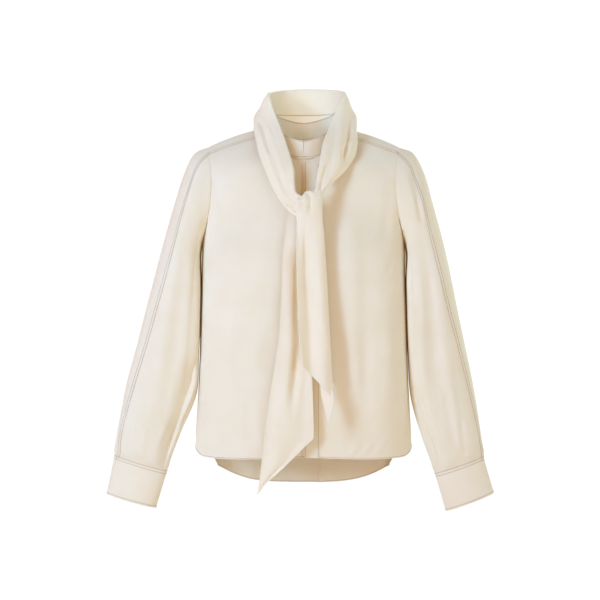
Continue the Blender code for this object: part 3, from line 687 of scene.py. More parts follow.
sleeveLeft = table(
    sleeveColumns,
    armholeRow,
    (186.4, -213, 200, -38, 61.5, 1, 48, 0, 9),
    (187, -223, 221, -78, 62.5, -1, 60, 1, 4),
    (186.6, -237, 235, -129, 62.5, -4, 64, 3, 1),
    (186, -258, 248.5, -181, 61.5, -8, 64, 5, 0),
    (185.8, -287, 261, -234, 59.5, -12, 61, 8, 0),
    (186.8, -336, 276, -306, 54, -17, 55, 12, 0),
    (189, -402, 291, -379, 46, -21, 45, 17, 0),
    (193.5, -477, 304, -446, 38, -25, 36, 22, 0),
    (212, -545, 315.5, -516, 36, -28, 28, 26, 0),
    (229, -593, 321.5, -561, 29, -30, 22, 27, 0),
    (237, -616, 324, -585, 19, -31, 20, 28, 0),
)


def panelRows(inner, outer, across, shape, side):
    inner, outer = inner[:, None, :], outer[:, None, :]
    roundness, swell, lift, power = (value[:, None] for value in shape)
    reach = outer - inner
    along = 1 / 3 + (0.6 - 1 / 3) * roundness
    turn = (1 - roundness) / 3
    first = inner + points(along * reach[..., 0], turn * reach[..., 1], 0)
    # the worn side is boxy where the sleeve hangs beside it
    boxy = 0
    if side < 0:
        boxy = bodySetup["boxy"] * ease((outer[..., 2] + 560) / 90) * (1 - ease((outer[..., 2] + 225) / 60))
    second = outer - points(turn * reach[..., 0], (along + boxy) * reach[..., 1], 0)
    u = across[None, :, None]
    grid = (1 - u) ** 3 * inner + 3 * u * (1 - u) ** 2 * first + 3 * u * u * (1 - u) * second + u**3 * outer
    share = np.clip((grid[..., 0] - inner[..., 0]) / reach[..., 0], 0, 1)
    hill = 4 * across * (1 - across)
    grid[..., 2] = inner[..., 2] + reach[..., 2] * share**power + lift * hill
    grid[..., 1] += side * swell * hill
    return grid


def smoothRows(grid, level, reach, passes):
    # rows are averaged where two tables meet, so that the shade doesn't break there
    for _ in range(passes):
        near = grid[level - reach - 1 : level + reach + 2]
        grid[level - reach : level + reach + 1, 1:-1] = (near[:-2, 1:-1] + 2 * near[1:-1, 1:-1] + near[2:, 1:-1]) / 4


def bodyHalf(front, across):
    s = bodySetup
    side = -1 if front else 1
    tail = frontTail if front else backTail
    centre = frontCentre if front else backCentre
    chest = frontChest if front else backChest
    rows = len(tail["inner_y"]) - 1
    at = spread(s["hemLength"] if front else s["tailLength"], s["step"], True, False)[:-1] * rows
    low = 1 - at / rows
    zero = np.zeros(len(at))
    inner = [points(zero, read(tail, "inner_y", at), read(tail, "inner_z", at))]
    outer = [points(*(read(tail, "outer_" + axis, at) for axis in "xyz"))]
    power = 1 + zero if front else 1 + (s["hemPower"] - 1) * low
    shape = [np.stack([zero + 1, zero, -s["hemDip"] * low if front else zero, power])]
    z = np.linspace(body["z"][0], body["z"][-1], int(335 / s["step"]))[:-1]
    zero = np.zeros(len(z))
    inner.append(points(zero, read(body, "front_y" if front else "back_y", z, by="z"), z))
    outer.append(points(read(body, "half_width", z, by="z"), zero, z))
    shape.append(np.stack([zero + 1, zero, zero, zero + 1]))
    corner = s["frontNeckAt"] if front else s["backNeckAt"]
    armhole = s["frontArmhole"] if front else s["backArmhole"]
    lower = spread(armhole * corner, s["step"], False, False)
    upper = spread(armhole * (1 - corner), s["step"], False, True)
    t = np.concatenate([lower * corner, corner + upper[1:] * (1 - corner)])
    seam = s["armholeSeam"]
    outer.append(sleevePoint(sleeveLeft, 0.0, seam * t if front else 360 - (360 - seam) * t))
    turn = np.clip((t - corner) / (1 - corner), 0, 1)
    ringAngle = neckRing["shoulderSeam"] * turn if front else 180 - (180 - neckRing["shoulderSeam"]) * turn
    z = body["z"][-1] + (centre["z"][-1] - body["z"][-1]) * np.minimum(t / corner, 1)
    straight = points(np.zeros(len(t)), read(centre, "y", z, by="z"), z)
    inner.append(np.where((t < corner)[:, None], straight, neckPoint(ringAngle)))
    shape.append(np.stack([read(chest, name, t, by="at") for name in ("round", "swell", "lift", "power")]))
    inner, outer = np.concatenate(inner), np.concatenate(outer)
    grid = panelRows(inner, outer, across, np.concatenate(shape, axis=1), side)
    level = int(np.argmax(inner[:, 2] > body["z"][-1] - 1))
    smoothRows(grid, level, *s["chestSmooth"])
    level = int(np.argmin(np.linalg.norm(inner - neckPoint(0.0 if front else 180.0), axis=1)))
    smoothRows(grid, level, *s["neckSmooth"])
    if front:
        # the rounded corner at the side vent
        away = np.clip(1 - (grid[:1, -1:, 0] - grid[:1, :, 0]) / 20, 0, 1)
        above = np.clip(1 - (grid[..., 2] - grid[:1, -1:, 2]) / 34, 0, 1)
        grid[..., 2] += s["hemCorner"] * (1 - np.sqrt(1 - 0.97 * away**2)) * above**1.5
    return grid


def bodyFolded(grid, folds, outward, u):
    normals = gridNormals(grid) * outward
    height = np.zeros(grid.shape[:2])
    for across, width, low, high, depth in rowsOf(folds, "across width low high depth"):
        window = bump((grid[..., 2] - (low + high) / 2) / ((high - low) / 2))
        height += depth * window * bump((u - across) / (2 * width))
    height *= ease((1 - np.abs(u)) / 0.09)
    return grid + normals * height[..., None]


frontAcross = spread(235, bodySetup["step"])
frontU = np.interp(frontAcross, (0, 0.12, 1), (0, 2 / 11, 1))
frontHalf = bodyHalf(True, frontAcross)
backAcross = spread(235, bodySetup["step"], False, True)
backHalf = bodyHalf(False, backAcross)


def neckRow(grid, angle=0.0):
    # the row where the centre front or back meets the stand
    return int(np.argmin(np.linalg.norm(grid[:, 0] - neckPoint(angle), axis=1)))


frontEdges = {"lastRow": "seam", "firstColumn": "plain", "lastColumn": "plain", "firstRow": "hem"}


def frontPanel(side):
    folds = frontLeftFolds if side == "left" else frontRightFolds
    creases = frontLeftCreases if side == "left" else frontRightCreases
    grid = bodyFolded(frontHalf, folds, 1, frontU)
    outward = 1
    if side == "right":
        grid, outward = mirrored(grid), -1
    grid = creased(grid, outward, creases)
    grid = rippled(grid, outward, 34, 0.45, 1.3 if side == "left" else 4.1)
    return sewn(grid, outward, frontEdges), outward


def addCloth(name, grid, outward, thickness, material, split=None):
    vertices, faces = shellData(drawnIn(grid), outward, thickness, split)
    item = addMesh(name, vertices, faces, material)
    return item


frontGrids = {}
for side in ("right", "left"):
    grid, outward = frontPanel(side)
    frontGrids[side] = (grid, outward)
    piece = addCloth(f"frontPanel_{side}", grid, outward, bodySetup["cloth"], blouseCrepe)
    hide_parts(f"front_{side}")


def backSide(sign):
    grid, outward = backHalf, -1
    if sign < 0:
        grid, outward = mirrored(grid), 1
    grid = bodyFolded(grid, backFolds, outward, backAcross * sign)
    grid = creased(grid, outward, backCreases, facing=1)
    edges = {"lastRow": "seam", "lastColumn": "plain", "firstRow": "hem"}
    grid = sewn(grid, outward, edges)
    return grid, gridNormals(grid) * outward


def joinedBack():
    # two halves with one centre line up to the neck, and the hole of the neck between them above it
    (right, rightNormals), (left, leftNormals) = backSide(-1), backSide(1)
    neckAt = neckRow(backHalf, 180.0)
    middle = (right[: neckAt + 1, 0] + left[: neckAt + 1, 0]) / 2
    middle[:, 0] = 0
    centre = unit(rightNormals[: neckAt + 1, 0] + leftNormals[: neckAt + 1, 0])
    for grid, normals in ((right, rightNormals), (left, leftNormals)):
        grid[: neckAt + 1, 0] = middle
        normals[: neckAt + 1, 0] = centre
    grid = np.concatenate([right[:, ::-1], left], axis=1)
    return grid, np.concatenate([rightNormals[:, ::-1], leftNormals], axis=1), right.shape[1] - 1, neckAt


backGrid, backNormals, backMiddle, backNeckRow = joinedBack()
backData = shellData(backGrid, -1, bodySetup["cloth"], normals=backNormals, hole=(backMiddle, backNeckRow))
backPanel = addMesh("backPanel", *backData, blouseCrepe)
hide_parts("back")

placketSetup = {"width": 27.0, "rise": 0.55, "row": 1.6}


def placketGrid():
    # a strip of the left front, from the neck down, moved out by its own thickness
    grid, outward = frontGrids["left"]
    normals = gridNormals(grid) * outward
    last = neckRow(grid) - 1
    across = spread(placketSetup["width"], 3.0)
    strip, sides = [], []
    for row, normal in zip(grid[: last + 1], normals[: last + 1]):
        x = across * placketSetup["width"] + 0.3
        strip.append(np.stack([np.interp(x, row[:, 0], row[:, k]) for k in range(3)], axis=1))
        sides.append(np.stack([np.interp(x, row[:, 0], normal[:, k]) for k in range(3)], axis=1))
    return np.array(strip) + unit(np.array(sides)) * (placketSetup["rise"] + 0.75)


placketCloth = placketGrid()
placketEdgeDip = 0.35 * (1 - ease(edgeDistance(placketCloth, "lastColumn") / 1.4))
placketCloth = placketCloth - gridNormals(placketCloth) * placketEdgeDip[..., None]
placket = addCloth("concealedPlacket", placketCloth, 1, 0.7, blouseCrepe)
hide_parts("placket")


print("sleeves")
sleeveSetup = {
    "cloth": 0.9,
    "step": 3.2,
    "cuffRing": 11,
    "gathers": 7,
    "gatherDepth": 1.6,
    "gatherFrom": 9.6,
    "slitFrom": 9.5,
    "cuffCloth": 1.5,
    "lapRise": 2.1,
    "slitStep": 6,
    "backSteps": 17,
    "hindSwell": 7.3,
    "hindTurn": 32,  # the hind swell ends in a step at 360 - 32 degrees, on the hidden side
    "hindWidth": 36,
    "foreSwell": 5.2,
    "foreTurn": 156,
    "foreWidth": 23,
    "capSwell": 2.0,
}
sleeveFolds = table(
    "angle width first last depth",
    (75, 26, 3, 10.6, -3.5),
    (205, 24, 4, 10.6, 3.0),
    (250, 24, 5, 10.8, -4.0),
    (335, 34, 1.2, 9.5, 2.5),
)
cuffBottom = {
    "right": (265, -675, 354, -650, 21, -33),
    "left": (255.5, -681, 342, -648, 21, -33),
}
sleeveRightCreases = (
    ((17, 2.6), 8.0, (199, 352), (194, 382), (182, 414), (171, 446), (163, 466)),
    (14, -1.0, (172, 290), (160, 370), (149, 440)),
    (10, 0.8, (187, 215), (184, 270), (178, 330)),
    (7, 1.6, (133, 410), (130, 440), (128, 455)),
    (6, -1.4, (146, 425), (142, 445), (140, 462)),
)
sleeveLeftCreases = (
    ((2.2, 9), 3.5, (414, 388), (424, 418), (434, 446), (440, 466)),
    (6, 3.6, (411, 166), (417, 195), (423, 228)),
    (14, 6.0, (415, 205), (428, 260), (433, 310), (437, 370), (441, 405)),
    (9, -2.6, (406, 225), (412, 320), (424, 395)),
    (8, 2.8, (446, 385), (451, 420), (455, 450)),
    (8, -2.4, (441, 330), (451, 395), (460, 448)),
    (5, 1.8, (460, 415), (465, 452), (466, 458)),
    (6, -1.8, (428, 420), (437, 445), (441, 462)),
    (6, 2.0, (421, 400), (430, 428), (434, 446)),
)
sleeveBackCreases = {
    "right": (
        (10, 4.5, (180, 320), (165, 380), (150, 430)),
        (9, -2.4, (165, 300), (152, 370), (138, 440)),
        (8, 2.6, (192, 180), (184, 230), (176, 290)),
        (7, 2.2, (196, 330), (180, 390), (168, 440)),
    ),
    "left": (
        (10, 4.5, (425, 320), (440, 380), (452, 430)),
        (9, -2.4, (440, 300), (452, 370), (466, 440)),
        (8, 2.6, (412, 180), (420, 230), (428, 290)),
        (7, 2.2, (410, 330), (424, 390), (436, 440)),
    ),
}


def sleeveHeight(ring, angle):
    folds, s = sleeveFolds, sleeveSetup
    height = 0.0
    for turn, width, first, last, depth in rowsOf(folds, "angle width first last depth"):
        window = bump((ring - (first + last) / 2) / ((last - first) / 2))
        height = height + depth * window * bump((angle % 360 - turn) / width)
    beside = ease(ring / 1.6) * (1 - ease((ring - 6.6) / 2.0))
    height = height + s["hindSwell"] * beside * bump(((angle + s["hindTurn"]) % 360 - 360) / s["hindWidth"])
    height = height + s["foreSwell"] * beside * bump(((angle + s["foreTurn"]) % 360 - 180) / s["foreWidth"])
    height = height + s["capSwell"] * bump((ring - 1.3) / 1.6) * bump((angle - 200) / 60)
    rise = ease((ring - s["gatherFrom"]) / (10.4 - s["gatherFrom"])) * (1 - ease((ring - 10.4) / 0.6))
    waves = np.sin(np.radians(angle) * s["gathers"] + 0.5 * np.sin(np.radians(angle) * 2))
    return height + s["gatherDepth"] * rise * waves


def ringPlaces(sleeve):
    fine = np.linspace(0, sleeveSetup["cuffRing"], 600)
    path = sleevePoint(sleeve, fine, 130.0)
    length = np.concatenate([[0], np.cumsum(np.linalg.norm(np.diff(path, axis=0), axis=1))])
    return np.interp(spread(length[-1], sleeveSetup["step"]) * length[-1], length, fine)


def sleeveGrid(sleeve, front):
    rings = ringPlaces(sleeve)[:, None]
    over = 180 - read(sleeve, "over", rings)
    under = read(sleeve, "under", rings)
    across = spread(155 if front else 190, sleeveSetup["step"])[None, :]
    angles = under + (over - under) * across if front else over + (360 + under - over) * across
    grid = sleevePoint(sleeve, rings, angles)
    middle = (sleevePoint(sleeve, rings, 0.0) + sleevePoint(sleeve, rings, 180.0)) / 2
    return grid + unit(grid - middle) * sleeveHeight(rings, angles)[..., None], rings[:, 0], angles


def lapAngles(sleeve):
    s = sleeveSetup
    over = 180 - float(read(sleeve, "over", s["cuffRing"]))
    under = float(read(sleeve, "under", s["cuffRing"]))
    step = (360 + under - over) / s["backSteps"]
    return over + s["slitStep"] * step, step


def cuffPoint(sleeve, side, t, angle):
    inX, inZ, outX, outZ, depth, y = cuffBottom[side]
    a = np.radians(angle)
    low = points(
        (inX + outX) / 2 - (outX - inX) / 2 * np.cos(a),
        y - depth * np.sin(a),
        (inZ + outZ) / 2 - (outZ - inZ) / 2 * np.cos(a),
    )
    high = sleevePoint(sleeve, sleeveSetup["cuffRing"], angle)
    point = high + (low - high) * np.asarray(t)[..., None]
    first, step = lapAngles(sleeve)
    rise = sleeveSetup["lapRise"] * ease((angle - first - 360 + 2 * step) / (2 * step))
    out = unit(points(-np.cos(a) * depth, -np.sin(a) * 49, 0 * a))
    return point + out * np.asarray(rise)[..., None]


def cuffGrid(sleeve, side):
    first, step = lapAngles(sleeve)
    angles = first + (360 + 2 * step) * spread(270, 3.5)[None, :]
    t = spread(72, 4.0)[:, None]
    t, angles = np.broadcast_arrays(t, angles)
    return cuffPoint(sleeve, side, t, angles)


sleeveGrids = {}
for side, sleeve in (("right", sleeveRight), ("left", sleeveLeft)):
    outward = -1 if side == "left" else 1
    for part in ("front", "back"):
        grid, rings, angles = sleeveGrid(sleeve, part == "front")
        if side == "right":
            grid = mirrored(grid)
        grid = creased(grid, outward, sleeveLeftCreases if side == "left" else sleeveRightCreases)
        grid = creased(grid, outward, sleeveBackCreases[side], facing=1)
        grid = rippled(grid, outward, 30, 0.4, 0.7 if side == "left" else 5.2)
        overEdge, underEdge = ("lastColumn", "firstColumn") if part == "front" else ("firstColumn", "lastColumn")
        grid = sewn(grid, outward, {overEdge: "seam", underEdge: "plain", "firstRow": "plain", "lastRow": "seam"})
        split = None
        if part == "back":
            column = int(np.argmin(np.abs(angles[-1] - lapAngles(sleeve)[0])))
            split = (int(np.argmin(np.abs(rings - sleeveSetup["slitFrom"]))), column)
        name = f"sleeve_{side}_{part}Piece"
        piece = addCloth(name, grid, outward, sleeveSetup["cloth"], blouseCrepe, split)
        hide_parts(f"sleeve_{side}_{part}")
        sleeveGrids[(side, part)] = (grid, outward)
    grid = cuffGrid(sleeve, side)
    if side == "right":
        grid = mirrored(grid)
    grid = sewn(grid, outward, {"firstRow": "seam", "lastRow": "hem"})
    cuff = addCloth(f"cuff_{side}Piece", grid, outward, sleeveSetup["cuffCloth"], blouseCrepe)
    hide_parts(f"cuff_{side}")
    sleeveGrids[(side, "cuff")] = (grid, outward)


print("collar")
standSetup = {"cloth": 1.5, "slit": 0.7}


def standGrid():
    around = spread(415, 3.5) * 360
    side = np.where(around <= 180, 1, -1)
    angle = np.where(around <= 180, around, 360 - around)
    t = spread(33, 3.0)[:, None, None]
    grid = neckPoint(angle)[None] * (1 - t) + standTopPoint(angle)[None] * t
    grid[..., 0] = np.maximum(grid[..., 0], standSetup["slit"] * t[..., 0]) * side
    return grid


stand = sewn(standGrid(), 1, {"firstRow": "seam", "lastRow": "plain"})
standPiece = addCloth("standCollar", stand, 1, standSetup["cloth"], blouseCrepe)
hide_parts("collar_stand")


print("tie")
tieSetup = {
    "cloth": 1.3,
    "foldRadius": 3.4,
    "valley": 3.0,
    "outerSteps": 30,
    "innerSteps": 12,
    "underStep": 2.2,
    "underSteps": 6,
    "foldedEdge": 0.66,
    "stationSteps": 9,
}
tieNeck = table(
    "low_x low_y low_z top_x top_y top_z tuck depth bulge",
    (4, -112, -150, 4, -113, -126, 0.50, 3, 1),
    (-13.3, -111, -156, -13.1, -113, -116, 0.50, 4, 2),
    (-36, -98, -136, -17, -104, -95, 0.50, 4, 4),
    (-57, -87, -100, -19, -98, -72, 0.52, 6, 7),
    (-77, -67, -50, -29.5, -77, -34, 0.55, 7, 8),
    (-86, -38, -14, -41, -57, 1, 0.60, 7, 8),
    (-90, -14, 5, -55, -27, 38, 0.64, 7, 7),
    (-91, 10, 11, -64, 12, 71, 0.70, 13, 6),
    (-83.5, 43, 8, -58, 38, 80, 0.74, 16, 6),
    (-53, 75, 4, -37, 63, 87, 0.77, 17, 5),
    (0, 88, 2, 0, 74, 90.5, 0.78, 17.9, 5),
    (54, 75, 4, 43.5, 63, 88, 0.77, 18, 5),
    (86, 43, 8, 69, 38, 82, 0.74, 20, 6),
    (95, 10, 10, 75, 12, 72, 0.70, 18, 6),
    (97, -14, 1, 65, -18, 50, 0.64, 11, 8),
    (97, -39, -21, 51, -50, 14, 0.60, 9, 9),
    (91, -62, -48, 37, -77, -22, 0.55, 8, 9),
    (73, -79, -75, 29.5, -97, -62, 0.52, 7, 8),
    (53, -94, -95, 25, -105, -86, 0.50, 5, 5),
    (32, -110, -117, 22, -114, -109, 0.45, 3, 1),
    (20, -114, -124, 14, -115, -118, 0.45, 3, 1),
)
tieCreases = (
    (5, 5.0, (257, 116), (263, 132), (271, 156)),
    (5, 2.2, (270, 152), (279, 176), (287, 196)),
    (2.6, 2.6, (284, 198), (290, 204), (296, 209)),
    (2.4, 2.4, (286, 205), (291, 211), (297, 215)),
    (4, -1.8, (266, 120), (276, 150), (288, 185)),
    (5.5, 8.0, (351, 112), (350, 135), (343, 168)),
    (3, 2.2, (328, 160), (323, 177), (319, 190)),
    (7, 2.2, (336, 120), (333, 150), (326, 182)),
    (6, -1.6, (342, 100), (341, 130), (335, 165)),
)
tieBackCreases = (
    (7, 2.6, (262, 108), (285, 104), (310, 106)),
    (6, -1.8, (275, 120), (300, 118), (325, 121)),
    (6, 2.2, (305, 96), (325, 98), (343, 104)),
    (1.6, 1.2, (307.8, 100), (307.8, 111), (307.8, 124)),
)


def tieGrid():
    s = tieSetup
    count = len(tieNeck["low_x"]) - 1
    at = np.linspace(0, count, count * s["stationSteps"] + 1)
    v = {name: read(tieNeck, name, at) for name in tieNeck}
    low = points(v["low_x"], v["low_y"], v["low_z"])
    top = points(v["top_x"], v["top_y"], v["top_z"])
    rise = top - low
    up = unit(rise)
    tangent = np.gradient((low + top) / 2, axis=0)
    out = unit(np.cross(up, tangent))
    share = np.linspace(0, 0.93, s["outerSteps"])[None, :]
    swell = v["bulge"][:, None] * np.sin(np.pi * np.minimum(share * 1.05, 1)) + s["foldRadius"] * ease(share / 0.3)
    swell = swell - s["valley"] * bump((share - 0.6) / 0.3)
    outer = low[:, None] + rise[:, None] * share[..., None] + out[:, None] * swell[..., None]
    bend = np.linspace(0, np.pi, 9)[1:-1][None, :, None]
    rolled = top[:, None] + up[:, None] * s["foldRadius"] * 0.6 * np.sin(bend)
    fold = rolled + out[:, None] * s["foldRadius"] * np.cos(bend)
    # the layer inside ends in a folded edge, and below it the next layer goes down behind the stand
    edge = top - rise * v["tuck"][:, None] * s["foldedEdge"] - out * (s["foldRadius"] + v["depth"][:, None] * 0.35)
    end = top - rise * v["tuck"][:, None] - out * (s["foldRadius"] + v["depth"][:, None] * 0.7)
    start = top - up * 3 - out * s["foldRadius"]
    t = np.linspace(0, 1, s["innerSteps"])[None, :, None]
    inner = start[:, None] + (edge - start)[:, None] * t
    below = 0.15 + 0.85 * ease((at - 5) / 2) * (1 - ease((at - 13) / 2))
    step = edge + out * s["underStep"]
    t = np.linspace(0, 1, s["underSteps"])[None, :, None] * below[:, None, None]
    under = step[:, None] + (end - step)[:, None] * t
    return np.concatenate([outer, fold, inner, under], axis=1)


tie = creased(tieGrid(), 1, tieCreases)
tie = creased(tie, 1, tieBackCreases, facing=1)
tiePiece = addCloth("tieRoundNeck", tie, 1, tieSetup["cloth"], tieCrepe)
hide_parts("tie_neck")


knotSetup = {"cloth": 1.5, "wrap": 112, "depth": 10.0, "lipLevel": -117.6}
lipTop = table(
    "at z",
    (0, -126),
    (0.09, -122),
    (0.2, -119.5),
    (0.3, -124.5),
    (0.42, -114),
    (0.62, -112.5),
    (0.86, -109),
    (1, -118),
)
knotTail = table(
    "left_x left_z right_x right_z y wave wrap lip",
    (-9, -152, 27, -152, -107, 0, 0, 0),
    (-10, -130, 28, -130, -107, 0, 0, 0.3),
    (-12, -120, 30.5, -120, -110, 0, 0.2, 0.85),
    (-13, -117.6, 31.7, -117.6, -115.5, 0, 0.6, 1),
    (-13.4, -120.5, 32.3, -120.5, -121, 0, 0.9, 0.85),
    (-13.5, -128, 32.6, -128, -125, 0, 1, 0.45),
    (-13.5, -142, 32.8, -142, -126.5, 0.3, 1, 0.1),
    (-13.3, -158, 33.3, -158, -126, 1, 0.85, 0),
    (-13, -178, 34.6, -178, -125.5, 2.5, 0.5, 0),
    (-12.6, -200, 36, -200, -126, 4, 0.2, 0),
    (-12, -227, 38, -227, -128, 5, 0.05, 0),
    (-11.6, -254, 39.5, -254, -129, 6, 0, 0),
    (-9.5, -310, 42.5, -310, -131, 6, 0, 0),
    (-7.2, -363, 45, -363, -132, 6, 0, 0),
    (-4.4, -390, 47.4, -402, -132, 5.5, 0, 0),
    (-2.2, -410, 49.8, -448, -132, 5, 0, 0),
    (-1.9, -415.4, 50.6, -470.8, -132, 4.5, 0, 0),
)
tailTip = table(
    "left_x left_z right_x right_z y tilt",
    (20, -424, 46, -442, -127, 1),
    (27.5, -446, 50, -460, -128.5, 3),
    (29.9, -465, 50.9, -474, -129.5, 4.5),
    (33, -479, 50.4, -485, -130, 4.5),
    (36.8, -492, 48.8, -494.5, -130, 3.5),
    (40.2, -505, 46.6, -506, -130, 2),
    (42.6, -516.4, 43.3, -516.8, -130, 0),
)
tailBack = table(
    "left_x left_z right_x right_z y wave",
    (-23, -143, 6, -143, -99, 0.5),
    (-28, -158, 8, -158, -102, 1),
    (-32, -185, 8, -185, -108.5, 2),
    (-36, -217, 8, -217, -113, 2.5),
    (-39, -288, 9, -288, -117.5, 4),
    (-43, -363, 11.5, -363, -119, 4.5),
    (-55, -444, 15, -440, -119, 5),
    (-65, -514, 17, -505, -118, 4.5),
    (-68.6, -543, 17.4, -537, -118, 4),
    (-69.6, -551, 15.6, -544.5, -118, 3.6),
    (-70.4, -558, 8.5, -551, -118, 3.2),
    (-72.5, -580, -11.6, -571, -118, 2.5),
    (-75.5, -606, -35, -594, -117.5, 3),
    (-78.5, -627, -64, -620, -117, 1),
    (-81, -640, -78.5, -638.5, -117, 0),
)
knotCreases = (
    ((6, 2.5), 4.2, (305, 186), (311, 197), (311, 208), (309, 216)),
    ((2.2, 3.5), 2.4, (300, 192), (302, 200), (299, 212)),
    (9, 2.6, (312, 215), (314, 290), (320, 372)),
    (5, -1.6, (301, 205), (302, 280), (307, 355)),
    (5, -1.6, (321, 200), (324, 290), (329, 380)),
)
tailBackCreases = (
    ((12, 8), 8.0, (298, 235), (299, 300), (299, 350), (294, 395), (289, 425)),
    (8, 1.5, (272, 400), (268, 440), (264, 474)),
)


def knotTailGrid():
    s = knotSetup
    at = np.concatenate([np.linspace(0, 8, 57)[:-1], np.linspace(8, 16, 76)])
    v = {name: read(knotTail, name, at)[:, None] for name in knotTail}
    u = spread(50, 1.6)[None, :]
    x = v["left_x"] + (v["right_x"] - v["left_x"]) * u
    z = v["left_z"] + (v["right_z"] - v["left_z"]) * u
    y = v["y"] - v["wave"] * np.cos(2 * np.pi * (1.25 * u + 0.1))
    turn = np.radians((2 * u - 1) * s["wrap"])
    half = (v["right_x"] - v["left_x"]) / 2
    wrapX = (v["left_x"] + v["right_x"]) / 2 + half * np.sign(turn) * np.abs(np.sin(turn)) ** 0.8
    wrapY = v["y"] + s["depth"] * (1 - np.cos(turn))
    w = np.clip(v["wrap"], 0, 1)
    z = z + v["lip"] * (read(lipTop, "z", u, by="at") - s["lipLevel"])
    return points(wrapX * w + x * (1 - w), wrapY * w + y * (1 - w), z)


def turnedUnder(grid, normalSign, size=2.2, reach=9):
    # the last row rolls back on itself, as a folded edge does
    normals = gridNormals(grid) * normalSign
    down = unit(grid[-1] - grid[-2])
    rows = []
    for a in np.radians((30, 60, 90, 120, 150, 180)):
        rows.append(grid[-1] + down * size / 2 * np.sin(a) - normals[-1] * size / 2 * (1 - np.cos(a)))
    for back in (reach / 3, reach * 2 / 3, reach):
        rows.append(rows[5] - down * back)
    return np.concatenate([grid, np.array(rows)])


def stripGrid(rows, waves, phase, width, tilt=None):
    count = len(rows["y"]) - 1
    at = np.linspace(0, count, count * 11 + 1)
    v = {name: read(rows, name, at)[:, None] for name in rows}
    u = spread(width, 1.8)[None, :]
    x = v["left_x"] + (v["right_x"] - v["left_x"]) * u
    z = v["left_z"] + (v["right_z"] - v["left_z"]) * u
    if tilt is None:
        y = v["y"] - 0.65 * v["wave"] * np.cos(2 * np.pi * (waves * u + phase)) * (1 - 0.8 * ease((u - 0.72) / 0.28))
    else:
        y = v["y"] + v["tilt"] * (1 - 2 * u) * tilt
    return points(x, y, z)


knotGrid = creased(knotTailGrid(), -1, knotCreases)
knotGrid = turnedUnder(knotGrid, -1)
tipGrid = stripGrid(tailTip, 0, 0, 40, tilt=1.0)
frontTailData = joinedData(
    shellData(knotGrid, -1, knotSetup["cloth"]),
    shellData(tipGrid, -1, knotSetup["cloth"]),
)
knotPiece = addMesh("tieKnotAndFrontTail", *frontTailData, tieCrepe)
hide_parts("tie_knot", "tie_tail_front")

backTailGrid = creased(stripGrid(tailBack, 1.25, 0.45, 75), -1, tailBackCreases)
backTailPiece = addCloth("tieBackTail", backTailGrid, -1, knotSetup["cloth"], tieCrepe)
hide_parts("tie_tail_back")


print("stitches")
rowSetup = {
    "seam": 2.9,
    "hem": 2.2,
    "edge": 3.4,
    "cuffEdge": 3.6,
    "lap": 3.0,
    "bar": 0.9,
    "hemBar": 1.0,
    "stand": 1.8,
}
lines = {"body": [], "sleeves": [], "collar": []}
for side in ("right", "left"):
    grid, outward = frontGrids[side]
    lines["body"].append(rowBeside(grid, outward, "lastRow", rowSetup["seam"]))
    lines["body"].append(rowBeside(grid, outward, "firstRow", rowSetup["hem"]))
    share = neckRow(grid) / (len(grid) - 1)
    if side == "right":
        lines["body"].append(rowBeside(grid, outward, "firstColumn", rowSetup["edge"], 0.01, share - 0.01))
        lines["body"].append(rowBeside(grid, outward, "firstColumn", rowSetup["hemBar"], 0.004, 0.022))
    lines["body"].append(rowBeside(grid, outward, "firstColumn", rowSetup["seam"], share, 0.995))
    lines["body"].append(rowBeside(grid, outward, "lastColumn", rowSetup["bar"], 0.975, 1.0))
    for part in ("front", "back"):
        grid, outward = sleeveGrids[(side, part)]
        edge = "lastColumn" if part == "front" else "firstColumn"
        lines["sleeves"].append(rowBeside(grid, outward, edge, rowSetup["seam"]))
        lines["sleeves"].append(rowBeside(grid, outward, "lastRow", rowSetup["seam"]))
    grid, outward = sleeveGrids[(side, "cuff")]
    lines["sleeves"].append(rowBeside(grid, outward, "firstRow", rowSetup["seam"]))
    lines["sleeves"].append(rowBeside(grid, outward, "lastRow", rowSetup["cuffEdge"]))
    lines["sleeves"].append(rowBeside(grid, outward, "lastColumn", rowSetup["lap"]))
lines["body"].append(rowBeside(placketCloth, 1, "firstColumn", rowSetup["edge"], 0.01, 1))
lines["body"].append(rowBeside(placketCloth, 1, "lastColumn", placketSetup["row"], 0.01, 1))
lines["body"].append(rowBeside(backGrid, -1, "firstRow", rowSetup["hem"]))
inside, facing = rowBeside(backGrid, -1, "firstRow", rowSetup["hem"])
lines["body"].append((inside - facing * bodySetup["cloth"], -facing))
for sign in (-1, 1):
    grid, _ = backSide(sign)
    lines["body"].append(rowBeside(grid, -sign, "lastRow", rowSetup["seam"]))
lines["collar"].append(rowBeside(stand, 1, "firstRow", rowSetup["seam"]))
top, facing = rowBeside(stand, 1, "lastRow", rowSetup["stand"])
lines["collar"] += [(top, facing), (top - facing * standSetup["cloth"], -facing)]
for name, own in lines.items():
    addStitches(f"topstitching_{name}", own, threadMaterial)


print("buttons")
buttonSetup = {"radius": 5.5, "thick": 2.0, "rim": 1.1, "dish": 0.35, "hole": 0.75, "holeAt": 1.35, "seat": 0.35}


def buttonPlaceOn(side, sleeve):
    first, step = lapAngles(sleeve)
    angle = np.array([[first + 360 + step - 1, first + 360 + step + 1]])
    patch = np.concatenate([cuffPoint(sleeve, side, np.full((1, 2), t), angle) for t in (0.65, 0.68)])
    normal = unit(np.cross(patch[0, 1] - patch[0, 0], patch[1, 0] - patch[0, 0]))
    if normal[1] < 0:
        normal = -normal
    seat = cuffPoint(sleeve, side, np.array(2 / 3), np.array(first + 360 + step))
    if side == "right":
        seat, normal = mirrored(seat), mirrored(normal)
    return seat, normal


